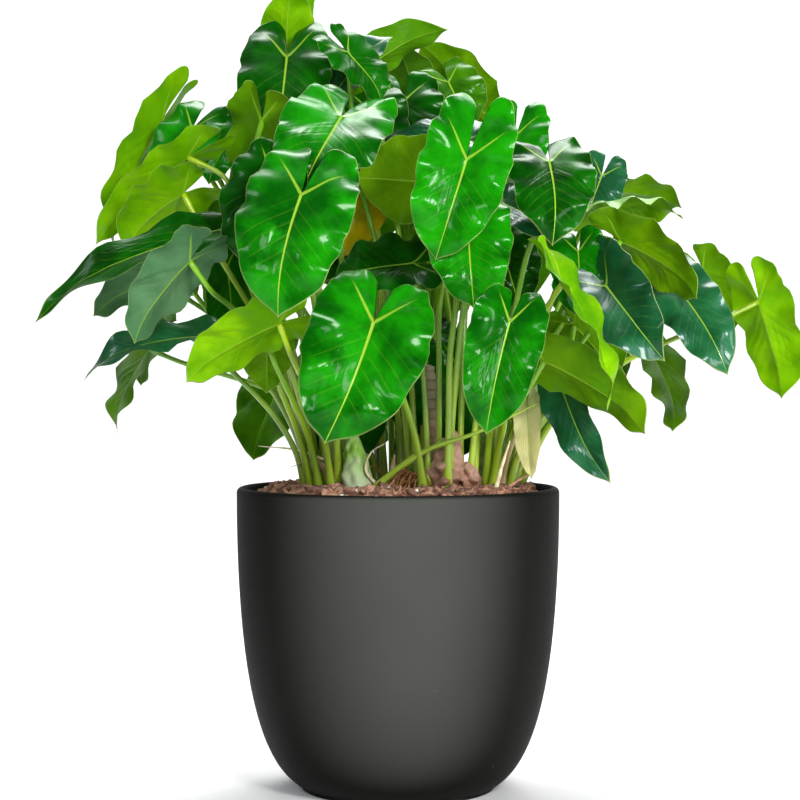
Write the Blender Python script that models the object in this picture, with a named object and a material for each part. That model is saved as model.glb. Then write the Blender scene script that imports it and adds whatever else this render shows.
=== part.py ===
"""A philodendron in a dark egg-shaped cover pot: Blender script, metres, Z up.

The origin is the centre of the pot's flat underside. The front of the plant faces -Y.
Each leaf is one closed body, its stalk and its heart-shaped blade together.
"""
import math

import bmesh
import bpy
import numpy as np

# ---------------------------------------------------------------- driving dimensions
RIM_WIDTH = 0.280
POT_HEIGHT = 0.262
FOLIAGE_WIDTH = 0.670
WALL = 0.0065
STALK_RADIUS = 0.0027
GAP = 0.0003

# ---------------------------------------------------------------- sizes worked out from them
CM = FOLIAGE_WIDTH / 67
RIM_RADIUS = RIM_WIDTH / 2
FOOT_RADIUS = 0.60 * RIM_RADIUS
FOOT_HEIGHT = 0.0135 * POT_HEIGHT
RIM_ROUND = 0.7 * WALL
FLOOR = 0.045 * POT_HEIGHT
GROW_WALL = 0.002
GROW_TOP = 0.955 * POT_HEIGHT
GROW_LIP = 0.0018
GROW_RADIUS = RIM_RADIUS - WALL - 0.006
SOIL_TOP = POT_HEIGHT
SOIL_EDGE = 0.94 * POT_HEIGHT
SOIL_RADIUS = GROW_RADIUS - GROW_WALL - GAP
PLATEAU = 0.89 * SOIL_RADIUS
BASE_LEVEL = SOIL_TOP + GAP

POT_SIDES = 36
STALK_SIDES = 5
ROUTE_POINTS = 7
HUB = 1.6 * STALK_RADIUS
BLADE_HALF = 0.0006
HUB_HALF = 0.0011
CROWN = 0.0016
BLADE_CLEAR = 0.0085
STALK_CLEAR = 2.5 * STALK_RADIUS
MIXED_CLEAR = STALK_RADIUS + 0.0045

# ---------------------------------------------------------------- colours
TONES = {
    "glossy": ((0.010, 0.130, 0.008), 0.22),
    "dark": ((0.006, 0.062, 0.008), 0.25),
    "olive": ((0.100, 0.190, 0.012), 0.45),
    "lime": ((0.260, 0.420, 0.020), 0.35),
    "slate": ((0.030, 0.110, 0.060), 0.28),
    "faded": ((0.620, 0.540, 0.240), 0.60),
}

# ---------------------------------------------------------------- canes
# name: (place right of the pot's axis, place behind it, radius, height), in centimetres
CANES = {
    "left": (-4.5, 0.5, 1.3, 5.5),
    "centre": (3.6, -2.6, 1.1, 8.0),
    "right": (7.4, 1.0, 1.1, 5.0),
    "back": (0.5, 5.6, 1.2, 6.0),
}

# ---------------------------------------------------------------- leaves
# Every leaf is described as a gardener would find it, in centimetres and degrees:
#   stalk end  bearing round the pot (0 right, 90 back, -90 front), reach from its axis,
#              rise above its rim
#   hang       bearing that the glossy side faces, how far that side tilts up, and the turn
#              of the tip from straight down, to the right as seen from that side
#   blade      length from stalk to tip, width, lobe length as a share of the length
#   bend       droop of the midrib, fold of the two halves
LEAVES = [
    ("heart_front", "centre", (-97, 16, 14), (-85, 15, -18), (10.5, 10, 0.42), (25, 8), "glossy"),
    ("heart_middle", "centre", (-70, 16, 27), (-90, 12, -16), (8.5, 7.5, 0.72), (20, 15), "glossy"),
    ("heart_inner", "centre", (-62, 12, 22), (-88, 20, 0), (7, 7, 0.45), (20, 5), "glossy"),
    ("spear_top", "centre", (210, 4, 36), (125, 25, -130), (9, 5, 0.40), (15, 25), "glossy"),
    ("shade_top", "centre", (80, 3, 34), (-90, 25, 0), (7, 7, 0.50), (20, 5), "dark"),
    ("slate_top", "centre", (-35, 7, 30), (-110, 55, -95), (8, 6, 0.40), (20, 10), "slate"),
    ("round_back", "centre", (-55, 6, 26), (90, 20, 90), (7, 8, 0.30), (20, 5), "olive"),
    ("dark_middle", "centre", (-82, 9, 19), (-100, 45, -75), (7, 7, 0.40), (20, 5), "dark"),
    ("slate_middle", "centre", (-30, 10, 24), (-130, 45, 60), (8, 5, 0.30), (20, 5), "slate"),
    ("green_top", "centre", (-25, 11, 30), (-105, 15, -5), (7, 6, 0.50), (20, 5), "glossy"),
    ("broad_front", "left", (-115, 18, 24), (-95, 18, -14), (10, 9, 0.55), (30, -5), "glossy"),
    ("broad_upper", "left", (-126, 8, 31), (-85, 40, -22), (9.5, 9, 0.55), (25, 5), "glossy"),
    ("broad_top", "left", (197, 10, 37), (-95, 25, 0), (10, 8, 0.45), (25, 5), "dark"),
    ("lime_left", "left", (174, 21, 32), (155, 12, 26), (13, 5.5, 0.40), (15, 20), "lime"),
    ("curl_left", "left", (191, 18, 28), (105, 40, 40), (11, 4.5, 0.40), (20, 20), "lime"),
    ("gloss_left", "left", (187, 18, 31), (-110, 25, -15), (7, 6, 0.50), (25, 5), "glossy"),
    ("olive_left", "left", (209, 13, 31), (60, 10, 15), (10, 7, 0.30), (20, 5), "olive"),
    ("bright_left", "left", (198, 19, 25), (120, 40, 40), (7, 7, 0.40), (20, 5), "lime"),
    ("long_left", "left", (205, 15, 22), (-100, 45, -55), (18, 5, 0.30), (30, 15), "dark"),
    ("grey_left", "left", (183, 19, 19), (115, 45, 50), (8.5, 6, 0.30), (20, 10), "slate"),
    ("pale_left", "left", (208, 19, 19), (125, 30, 25), (8, 6, 0.40), (20, 10), "slate"),
    ("twist_left", "left", (206, 18, 13), (-110, 55, -65), (11, 4.5, 0.40), (30, 20), "slate"),
    ("yellow_left", "left", (238, 18, 14), (110, 45, 45), (9, 6.5, 0.35), (20, 10), "lime"),
    ("small_left", "left", (219, 14, 13), (90, 25, 0), (5, 4.5, 0.40), (20, 5), "olive"),
    ("bright_top", "back", (168, 10, 38), (90, 20, 180), (6, 5, 0.30), (20, 10), "lime"),
    ("blade_top", "back", (158, 8, 38), (160, 0, 180), (7, 6, 0.30), (20, 35), "lime"),
    ("fold_top", "back", (207, 6, 34), (-120, 25, 150), (7, 5, 0.40), (20, 20), "slate"),
    ("shade_right", "back", (78, 7, 35), (75, 15, 170), (5, 5, 0.40), (30, 10), "dark"),
    ("tall_right", "back", (47, 10, 34), (70, 15, 150), (7.5, 6, 0.40), (20, 10), "olive"),
    ("round_right", "back", (25, 5, 36), (-80, 20, 20), (5, 6, 0.50), (30, 5), "olive"),
    ("rear_high", "back", (100, 17, 30), (85, 20, 10), (10, 9, 0.50), (25, 8), "glossy"),
    ("rear_left", "back", (140, 19, 23), (120, 25, -15), (10, 9, 0.45), (25, 8), "glossy"),
    ("rear_right", "back", (55, 18, 24), (60, 20, 15), (10, 9, 0.50), (25, 8), "glossy"),
    ("rear_middle", "back", (95, 19, 18), (95, 15, 0), (10, 9, 0.50), (25, 8), "dark"),
    ("rear_low_left", "back", (125, 18, 10), (130, 20, 10), (9, 8, 0.45), (25, 8), "glossy"),
    ("rear_low_right", "back", (60, 18, 9), (55, 20, -10), (9, 8, 0.45), (25, 8), "glossy"),
    ("heart_right", "right", (-40, 16, 27), (-85, 30, 3), (7.5, 7, 0.55), (40, 5), "dark"),
    ("olive_right", "right", (14, 19, 26), (80, 60, -72), (7, 5, 0.40), (20, 5), "olive"),
    ("pale_right", "right", (-16, 18, 24), (90, 75, -90), (7, 7, 0.40), (20, -20), "lime"),
    ("long_right", "right", (-21, 20, 21), (50, 35, -50), (8, 6.5, 0.40), (20, 5), "olive"),
    ("drop_right", "right", (-11, 21, 20), (-60, 10, 15), (7, 4, 0.40), (20, 5), "olive"),
    ("dark_right", "right", (-34, 20.5, 17), (-128, 25, 48), (9, 7, 0.65), (20, 25), "slate"),
    ("lime_right", "right", (-50, 20, 17), (-25, 25, 12), (10.5, 5, 0.40), (10, 25), "lime"),
    ("low_right", "right", (-49, 18, 11), (60, 40, -45), (10, 6.5, 0.40), (20, 10), "olive"),
    ("hanging_right", "right", (-32, 16, 9), (-120, 10, 28), (9.5, 4.5, 0.30), (25, 30), "slate"),
    ("faded_right", "right", (-39, 14, 7), (-105, 10, 5), (6, 2.5, 0.30), (20, 20), "faded"),
    ("gloss_front", "right", (-59, 17, 14), (-90, 12, -15), (9, 6.5, 0.32), (15, 20), "glossy"),
    ("eared_right", "right", (-9, 24, 17), (-105, 30, 35), (9, 5.5, 0.65), (20, 5), "slate"),
    ("back_right", "right", (6, 27, 19), (60, 20, -25), (6, 5, 0.40), (20, 5), "olive"),
    ("far_right", "right", (-6, 31, 16), (50, 12, -8), (8.5, 6, 0.45), (15, 10), "lime"),
]


def unit(vector):
    return vector / np.linalg.norm(vector)


def bezier(points, count, start=0.0):
    """Points along a cubic curve given by its four control points."""
    t = np.linspace(start, 1, count)[:, None]
    p0, p1, p2, p3 = [np.asarray(p, float) for p in points]
    return (1 - t) ** 3 * p0 + 3 * (1 - t) ** 2 * t * p1 + 3 * (1 - t) * t**2 * p2 + t**3 * p3


# ---------------------------------------------------------------- scene helpers
def clear_scene():
    for thing in list(bpy.data.objects):
        bpy.data.objects.remove(thing, do_unlink=True)


def material(name, colour, roughness, metallic=0.0):
    made = bpy.data.materials.get(name) or bpy.data.materials.new(name)
    made.use_nodes = True
    shader = made.node_tree.nodes["Principled BSDF"]
    shader.inputs["Base Color"].default_value = (*colour, 1)
    shader.inputs["Roughness"].default_value = roughness
    shader.inputs["Metallic"].default_value = metallic
    made.diffuse_color = (*colour, 1)
    return made


def add_object(name, bm, look):
    """Turn a bmesh into a smooth-shaded object whose faces point outwards."""
    bmesh.ops.recalc_face_normals(bm, faces=bm.faces)
    mesh = bpy.data.meshes.new(name)
    bm.to_mesh(mesh)
    bm.free()
    mesh.materials.append(look)
    mesh.shade_smooth()
    made = bpy.data.objects.new(name, mesh)
    bpy.context.collection.objects.link(made)
    return made


def turned(name, outline, look, centre=(0, 0), sides=POT_SIDES):
    """Spin an outline of (radius, height) points that begins and ends on the axis."""
    bm = bmesh.new()
    verts = [bm.verts.new((centre[0] + r, centre[1], z)) for r, z in outline]
    edges = [bm.edges.new(pair) for pair in zip(verts, verts[1:])]
    bmesh.ops.spin(
        bm, geom=verts + edges, cent=(*centre, 0), axis=(0, 0, 1), angle=math.tau, steps=sides
    )
    bmesh.ops.remove_doubles(bm, verts=bm.verts, dist=1e-6)
    return add_object(name, bm, look)


# ---------------------------------------------------------------- pot, nursery pot and soil
def belly(count):
    """The pot's outer side from the foot to where the rim starts to round over."""
    foot = np.array((FOOT_RADIUS + 0.01 * RIM_RADIUS, FOOT_HEIGHT))
    rim = np.array((RIM_RADIUS, POT_HEIGHT - RIM_ROUND))
    lean = np.array((math.cos(math.radians(30)), math.sin(math.radians(30))))
    drop = np.array((0, 0.75 * POT_HEIGHT))
    return bezier((foot, foot + 0.2 * RIM_RADIUS * lean, rim - drop, rim), count)


def build_pot():
    outer = belly(11)
    rim = [
        (RIM_RADIUS - RIM_ROUND * (1 - math.cos(a)), POT_HEIGHT - RIM_ROUND * (1 - math.sin(a)))
        for a in (math.radians(35), math.radians(70), math.radians(90))
    ]
    heights = np.linspace(POT_HEIGHT - 0.2 * RIM_ROUND, FLOOR, 7)
    side = belly(60)
    inner = [(np.interp(z, side[:, 1], side[:, 0]) - WALL, z) for z in heights]
    foot = [(0, 0), (FOOT_RADIUS - 0.5 * FOOT_HEIGHT, 0), (FOOT_RADIUS, 0.5 * FOOT_HEIGHT)]
    foot.append((FOOT_RADIUS, FOOT_HEIGHT))
    turned(
        "pot",
        foot + [tuple(p) for p in outer] + rim + inner + [(0, FLOOR)],
        material("anthracite", (0.085, 0.087, 0.078), 0.42),
    )


def grow_side(z):
    """Outer radius of the nursery pot at a height."""
    share = (z - FLOOR) / (GROW_TOP - FLOOR)
    return GROW_RADIUS * (0.66 + 0.34 * share)


def build_grow_pot():
    low = FLOOR + GAP
    inside = low + GROW_WALL
    outline = [
        (0, low),
        (grow_side(low), low),
        (grow_side(GROW_TOP - 0.012), GROW_TOP - 0.012),
        (GROW_RADIUS + GROW_LIP, GROW_TOP - 0.010),
        (GROW_RADIUS + GROW_LIP, GROW_TOP),
        (GROW_RADIUS - GROW_WALL, GROW_TOP),
        (grow_side(inside) - GROW_WALL, inside),
        (0, inside),
    ]
    turned("grow_pot", outline, material("nursery plastic", (0.030, 0.036, 0.045), 0.4))


def build_soil():
    low = FLOOR + 2 * GAP + GROW_WALL
    trim = GROW_WALL + 1.6 * GAP
    outline = [
        (0, low),
        (grow_side(low) - trim, low),
        (grow_side(SOIL_EDGE) - trim, SOIL_EDGE),
        (0.5 * (SOIL_RADIUS + PLATEAU), 0.35 * SOIL_EDGE + 0.65 * SOIL_TOP),
        (PLATEAU, SOIL_TOP),
        (0, SOIL_TOP),
    ]
    turned("soil", outline, material("bark mix", (0.150, 0.070, 0.045), 0.95))


# ---------------------------------------------------------------- canes
def build_cane(name, x, y, radius, height):
    """A short thick stem with leaf-scar rings over a swollen base."""
    rings = max(2, int(height / 1.6))
    outline = [(0, 0), (1.25 * radius, 0), (1.3 * radius, 0.12 * height)]
    for ring in range(rings):
        at = 0.2 + 0.65 * ring / rings
        outline.append((1.02 * radius, at * height))
        outline.append((0.92 * radius, (at + 0.4 / rings) * height))
    outline += [(0.8 * radius, 0.93 * height), (0, height)]
    placed = [(r * CM, BASE_LEVEL + z * CM) for r, z in outline]
    look = material("cane bark", (0.170, 0.130, 0.070), 0.8)
    turned(f"cane_{name}", placed, look, (x * CM, y * CM), 12)


def build_stub():
    outline = [(0, 0), (0.35, 0), (0.33, 2.2), (0.26, 2.9), (0, 2.9)]
    placed = [(r * CM, BASE_LEVEL + z * CM) for r, z in outline]
    look = material("old stalk", (0.330, 0.220, 0.090), 0.7)
    turned("stub", placed, look, (-0.4 * CM, -3.4 * CM), 8)


# ---------------------------------------------------------------- leaf shape
class Leaf:
    """One leaf: where its stalk ends, how the blade hangs, and the route of the stalk."""

    def __init__(self, row):
        self.name, self.cane, end, hang, blade, bend, self.tone = row
        bearing, reach, rise = end
        round_pot = math.radians(bearing)
        self.end = np.array(
            (
                reach * CM * math.cos(round_pot),
                reach * CM * math.sin(round_pot),
                POT_HEIGHT + rise * CM,
            )
        )
        face, tilt, turn = [math.radians(a) for a in hang]
        level = np.array((math.cos(face), math.sin(face), 0))
        up = np.array((0, 0, 1))
        self.normal = math.cos(tilt) * level + math.sin(tilt) * up
        down = math.sin(tilt) * level - math.cos(tilt) * up
        right = np.array((-math.sin(face), math.cos(face), 0))
        self.tip = math.cos(turn) * down + math.sin(turn) * right
        self.across = np.cross(self.normal, self.tip)
        self.length, self.width, self.lobe = blade[0] * CM, blade[1] * CM, blade[2]
        self.droop, self.fold = math.radians(bend[0]), math.radians(bend[1])
        self.phase = 0.7 * sum(end)

    def outline(self, lobe_steps, flank_steps):
        """Half the blade's edge as (along, across) points, from the lobe round to the tip."""
        half, back = self.width / 2, self.lobe * self.length
        widest = np.array((0.12 * self.length, half))
        lobe = bezier(
            ((0, 0), (-1.6 * back, -0.05 * half), (-1.2 * back, half), widest), lobe_steps, 0.24
        )
        ahead, point = np.array((0.62 * self.length, 0)), np.array((self.length, 0))
        shoulder = (0.88 * self.length, 0.50 * half)
        flank = bezier((widest, widest + ahead, shoulder, point), flank_steps + 1)
        return np.vstack((lobe, flank[1:]))

    def surface(self, flat, share):
        """Place flat (along, across) points on the bent and folded blade."""
        along, across = flat[:, 0], flat[:, 1]
        lift = math.sin(self.fold) * (np.sqrt(across**2 + (2 * HUB) ** 2) - 2 * HUB)
        wave = np.sin(5 * np.arctan2(across, along) + self.phase)
        lift = lift + 0.030 * self.width * share**2 * wave
        rate = max(self.droop, 0.01) / self.length
        start = 0.5 * rate * self.length
        angle = start - rate * along
        x = (math.sin(start) - np.sin(angle)) / rate
        z = (np.cos(angle) - math.cos(start)) / rate
        return (
            self.end
            + np.outer(x - lift * np.sin(angle), self.tip)
            + np.outer(z + lift * np.cos(angle), self.normal)
            + np.outer(across * math.cos(self.fold), self.across)
        )

    def ring(self, share, lobe_steps=4, flank_steps=4):
        """Points round the blade at a share of the way from its hub to its edge."""
        half = self.outline(lobe_steps, flank_steps)
        edge = np.vstack((half * (1, -1), half[-2::-1]))
        reach = np.linalg.norm(edge, axis=1)[:, None]
        return self.surface(edge / reach * (HUB + (reach - HUB) * share), share)

    def start_route(self, base):
        """First guess of the stalk's route: up from its base and over into the blade."""
        span = np.linalg.norm(self.end - base)
        way = unit(self.end - base)
        below = way - min(0, way @ self.normal) * self.normal
        into = unit(0.75 * self.normal + 0.7 * below)
        lean = unit(np.array((0.35 * way[0], 0.35 * way[1], 1.0)))
        controls = (base, base + 0.45 * span * lean, self.end - 0.28 * span * into, self.end)
        self.route = bezier(controls, ROUTE_POINTS)
        self.into = into


# ---------------------------------------------------------------- stalk bases and clearances
def place_bases(leaves):
    """Stand the stalks round their cane: steep ones close in, leaning ones further out."""
    for cane, (x, y, radius, _) in CANES.items():
        centre = np.array((x * CM, y * CM, BASE_LEVEL))
        own = [leaf for leaf in leaves if leaf.cane == cane]
        steep = [unit(leaf.end - centre)[2] for leaf in own]
        order = [own[k] for k in np.argsort(steep)[::-1]]
        third = math.ceil(len(order) / 3)
        for ring in range(3):
            members = order[ring * third : (ring + 1) * third]
            out = 1.3 * radius * CM + (2.2 + 3.2 * ring) * STALK_RADIUS
            turns = spread([math.atan2(*(leaf.end - centre)[1::-1]) for leaf in members], out)
            for leaf, turn in zip(members, turns):
                base = centre + out * np.array((math.cos(turn), math.sin(turn), 0))
                leaf.start_route(on_soil(base))


def on_soil(base):
    """Keep a stalk's base on the level top of the soil."""
    out = np.linalg.norm(base[:2])
    return base * (*[min(1, (PLATEAU - 2 * STALK_RADIUS) / out)] * 2, 1)


def spread(turns, radius):
    """Move directions apart until stalks on a ring of this radius have room."""
    room = 3.0 * STALK_RADIUS / radius
    order = np.argsort(turns)
    placed = np.array(turns)[order]
    for _ in range(60):
        gaps = np.diff(np.append(placed, placed[0] + math.tau))
        lack = np.maximum(room - gaps, 0) / 2
        placed += np.roll(lack, 1) - lack
    result = np.empty(len(turns))
    result[order] = placed
    return result


def near_pairs(clouds, others, clear):
    """Index pairs of the clouds whose boxes come within the clearance of each other."""
    low = np.array([cloud.min(axis=0) for cloud in clouds]) - clear
    high = np.array([cloud.max(axis=0) for cloud in clouds]) + clear
    low_other = np.array([cloud.min(axis=0) for cloud in others])
    high_other = np.array([cloud.max(axis=0) for cloud in others])
    meet = (low[:, None] <= high_other[None]) & (high[:, None] >= low_other[None])
    return np.argwhere(meet.all(axis=2))


def gaps_between(first, second):
    return np.linalg.norm(first[:, None] - second[None], axis=2)


def push_stalk(dense, other, clear, face=None, middle=None):
    """How far each point of a stalk should move to keep clear of another cloud."""
    gaps = gaps_between(dense, other)
    nearest, distance = gaps.argmin(axis=1), gaps.min(axis=1)
    close = distance < clear
    if not close.any():
        return None
    offset = dense - other[nearest]
    push = offset / np.maximum(distance, 1e-5)[:, None] * (clear - distance)[:, None]
    if face is not None:
        side = offset[close] @ face
        if side.min() < -0.0005 and side.max() > 0.0005:
            out = dense[close].mean(axis=0) - middle
            out -= (out @ face) * face
            push[:] = 0.003 * unit(out)
    return push * close[:, None]


def trunk_lines():
    lines = []
    for x, y, radius, height in CANES.values():
        levels = BASE_LEVEL + np.linspace(0, height * CM, 12)
        line = np.column_stack((np.full(12, x * CM), np.full(12, y * CM), levels))
        lines.append((line, 1.35 * radius * CM + STALK_RADIUS))
    return lines


def settle(leaves, steps=120):
    """Ease blades forwards or backwards, and stalks sideways, until nothing touches."""
    spots = np.linspace(0, ROUTE_POINTS - 1, 29)
    weights = np.maximum(0, 1 - abs(spots[:, None] - np.arange(ROUTE_POINTS)[None]))
    free = np.ones((ROUTE_POINTS, 3))
    free[0, 2] = free[-1] = 0
    slide = np.linspace(0, 1, ROUTE_POINTS)
    shares = (0.15, 0.32, 0.48, 0.62, 0.75, 0.88, 1.0)
    blades = [np.vstack([leaf.ring(s, 7, 9) for s in shares]) for leaf in leaves]
    trunks = trunk_lines()
    for _ in range(steps):
        moved = False
        for i, j in near_pairs(blades, blades, BLADE_CLEAR):
            if j >= i:
                continue
            least = gaps_between(blades[i], blades[j]).min()
            if least >= BLADE_CLEAR:
                continue
            moved = True
            ahead = blades[i][:, 1].mean() > blades[j][:, 1].mean()
            step = (0.3 * (BLADE_CLEAR - least) + 0.0004) * (1 if ahead else -1)
            for k, sign in ((i, 1), (j, -1)):
                blades[k][:, 1] += sign * step
                leaves[k].end[1] += sign * step
                leaves[k].route[:, 1] += sign * step * slide
        clouds = [weights @ leaf.route for leaf in leaves]
        pushes = [np.zeros_like(cloud) for cloud in clouds]
        for i, cloud in enumerate(clouds):
            for line, clear in trunks:
                push = push_stalk(cloud, line, clear)
                pushes[i] += 0 if push is None else push
        for i, j in near_pairs(clouds, clouds, STALK_CLEAR):
            if i != j:
                push = push_stalk(clouds[i], clouds[j], STALK_CLEAR)
                pushes[i] += 0 if push is None else push
        for i, j in near_pairs(clouds, blades, MIXED_CLEAR):
            part = slice(0, 17 if i == j else 27)
            middle = blades[j].mean(axis=0)
            push = push_stalk(clouds[i][part], blades[j], MIXED_CLEAR, leaves[j].normal, middle)
            if push is not None:
                pushes[i][part] += push
        for leaf, push in zip(leaves, pushes):
            if abs(push * (1, 1, 0)).max() > 1e-5:
                moved = True
                pushed = weights.T @ (abs(push).max(axis=1) > 0)
                leaf.route += 0.5 * free * (weights.T @ push) / np.maximum(pushed, 1)[:, None]
                leaf.route[0] = on_soil(leaf.route[0])
        if not moved:
            break


# ---------------------------------------------------------------- leaf mesh
def stalk_rings(leaf):
    """Rings of points round the stalk, from its base to just under the blade."""
    centres = leaf.route.copy()
    centres[-1] = leaf.end - 1.6 * STALK_RADIUS * leaf.into
    ways = np.gradient(centres, axis=0)
    ways[0] = (0, 0, 1)
    ways[-1] = leaf.into
    side = leaf.across
    rings = []
    for order, (centre, way) in enumerate(zip(centres[::-1], ways[::-1])):
        way = unit(way)
        side = unit(side - way * (side @ way))
        other = np.cross(way, side)
        radius = STALK_RADIUS * (0.75 + 0.25 * order / (len(centres) - 1))
        turns = [math.tau * k / STALK_SIDES for k in range(STALK_SIDES)]
        rings.append([centre + radius * (math.cos(a) * side + math.sin(a) * other) for a in turns])
    return rings


def stitch(bm, outer, inner, leaf):
    """Join two loops with different numbers of points by going round both together."""
    def by_angle(loop):
        middle = np.mean([vert.co for vert in loop], axis=0)
        spots = []
        for vert in loop:
            off = np.array(vert.co) - middle
            spots.append((math.atan2(off @ leaf.across, off @ leaf.tip), vert))
        return sorted(spots, key=lambda spot: spot[0])

    a, b = by_angle(outer), by_angle(inner)
    i = j = 0
    while i < len(a) or j < len(b):
        next_a = a[(i + 1) % len(a)][0] + (math.tau if i + 1 >= len(a) else 0)
        next_b = b[(j + 1) % len(b)][0] + (math.tau if j + 1 >= len(b) else 0)
        here_a, here_b = a[i % len(a)][1], b[j % len(b)][1]
        if j >= len(b) or (i < len(a) and next_a <= next_b):
            bm.faces.new((here_a, a[(i + 1) % len(a)][1], here_b))
            i += 1
        else:
            bm.faces.new((here_a, b[(j + 1) % len(b)][1], here_b))
            j += 1


def build_leaf(leaf):
    """A thin blade, thickest at the hub and sharp at the edge, grown onto its stalk."""
    bm = bmesh.new()
    up = leaf.normal
    edge = [bm.verts.new(p) for p in leaf.ring(1.0)]
    count = len(edge)
    layers = {}
    for share, half_thick in ((0.5, BLADE_HALF), (0.0, HUB_HALF)):
        middle = leaf.ring(share)
        rim_ends = {0: bm.verts.new(middle[0]), count - 1: bm.verts.new(middle[-1])}
        for sign in (1, -1):
            layers[share, sign] = [
                rim_ends[k] if k in rim_ends else bm.verts.new(p + sign * half_thick * up)
                for k, p in enumerate(middle)
            ]
    for sign in (1, -1):
        for outer, inner in ((edge, layers[0.5, sign]), (layers[0.5, sign], layers[0.0, sign])):
            for k in range(count - 1):
                near = (outer[k], inner[k])
                far = (outer[k + 1], inner[k + 1])
                if k >= count // 2:
                    near, far = far, near
                bm.faces.new((near[0], far[0], far[1]))
                bm.faces.new((near[0], far[1], near[1]))
    crown = bm.verts.new(leaf.end + CROWN * up)
    top = layers[0.0, 1]
    for k in range(count):
        bm.faces.new((top[k], top[(k + 1) % count], crown))
    rings = [[bm.verts.new(p) for p in ring] for ring in stalk_rings(leaf)]
    stitch(bm, layers[0.0, -1], rings[0], leaf)
    for near, far in zip(rings, rings[1:]):
        for k in range(STALK_SIDES):
            bm.faces.new((near[k], near[(k + 1) % STALK_SIDES], far[(k + 1) % STALK_SIDES], far[k]))
    bm.faces.new(rings[-1])
    bmesh.ops.triangulate(bm, faces=bm.faces)
    colour, roughness = TONES[leaf.tone]
    add_object(f"leaf_{leaf.name}", bm, material(f"leaf {leaf.tone}", colour, roughness))


# ---------------------------------------------------------------- build everything
clear_scene()
build_pot()
build_grow_pot()
build_soil()
for cane_name, size in CANES.items():
    build_cane(cane_name, *size)
build_stub()
plant = [Leaf(row) for row in LEAVES]
place_bases(plant)
settle(plant)
for one in plant:
    build_leaf(one)
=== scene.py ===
# %% [markdown]
# # A philodendron in a dark cover pot
# The frame holds the plain solids of every part, each in its place. This lesson gives each of
# them its real surface: thin veined leaves on juicy stalks, ringed canes, loose bark and a satin
# glazed pot. Everything is worked out from the frame and a few driving sizes.

import math

import bpy
import numpy as np
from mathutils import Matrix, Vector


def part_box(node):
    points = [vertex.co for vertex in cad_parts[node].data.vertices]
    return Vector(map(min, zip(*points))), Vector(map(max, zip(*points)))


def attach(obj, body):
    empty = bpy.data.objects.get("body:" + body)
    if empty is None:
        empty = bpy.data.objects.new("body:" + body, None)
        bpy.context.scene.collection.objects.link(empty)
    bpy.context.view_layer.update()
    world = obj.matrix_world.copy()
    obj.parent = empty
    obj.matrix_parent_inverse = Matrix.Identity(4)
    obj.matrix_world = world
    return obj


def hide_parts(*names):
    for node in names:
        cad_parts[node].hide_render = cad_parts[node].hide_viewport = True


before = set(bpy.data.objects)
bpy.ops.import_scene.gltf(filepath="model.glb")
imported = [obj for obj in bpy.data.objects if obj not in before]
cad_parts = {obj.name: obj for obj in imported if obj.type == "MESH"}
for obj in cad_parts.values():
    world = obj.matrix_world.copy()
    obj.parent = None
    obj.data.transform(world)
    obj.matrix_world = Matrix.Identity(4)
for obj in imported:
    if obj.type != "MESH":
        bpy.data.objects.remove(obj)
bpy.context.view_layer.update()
pot_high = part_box("pot")[1]

# %% [markdown]
# ## Driving sizes
# The pot's rim and height come from the frame. The leaves are laid out in centimetres on a plant
# 67 cm wide, so one centimetre of that layout is a sixty-seventh of the foliage's width.

# %% Driving sizes
POT_HEIGHT = round(float(pot_high[2]), 6)
RIM_RADIUS = round(float(pot_high[0]), 6)
CM = 0.670 / 67
WALL = 0.0065
STALK_RADIUS = 0.0027
GAP = 0.0003  # every piece stands this far from the one that carries it
FOOT_RADIUS = 0.60 * RIM_RADIUS
FOOT_HEIGHT = 0.0135 * POT_HEIGHT
RIM_ROUND = 0.7 * WALL
FLOOR = 0.045 * POT_HEIGHT
GROW_WALL = 0.002
GROW_TOP = 0.955 * POT_HEIGHT
GROW_RADIUS = RIM_RADIUS - WALL - 0.006
SOIL_TOP = POT_HEIGHT
SOIL_EDGE = 0.94 * POT_HEIGHT
SOIL_RADIUS = GROW_RADIUS - GROW_WALL - GAP
PLATEAU = 0.89 * SOIL_RADIUS
BASE_LEVEL = SOIL_TOP + GAP
HUB = 1.6 * STALK_RADIUS
ROUTE_POINTS = 7
BLADE_CLEAR = 0.0085
STALK_CLEAR = 2.5 * STALK_RADIUS
MIXED_CLEAR = STALK_RADIUS + 0.0045
print("pot", round(200 * RIM_RADIUS, 1), "cm across,", round(100 * POT_HEIGHT, 1), "cm high")

# %% [markdown]
# ## Where the leaves hang
# A bushy plant is not a pattern: each leaf hangs in its own way, so each has its own line, written
# as a gardener would find it. The lines with a CAD solid come first. The smaller ones that fill
# the bush behind and between them follow in a list of their own.

# %% Canes and leaves
# name: (place right of the pot's axis, place behind it, radius, height), in centimetres
CANES = {
    "left": (-4.5, 0.5, 1.3, 5.5),
    "centre": (3.6, -2.6, 1.1, 8.0),
    "right": (7.4, 1.0, 1.1, 5.0),
    "back": (0.5, 5.6, 1.2, 6.0),
}

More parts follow.
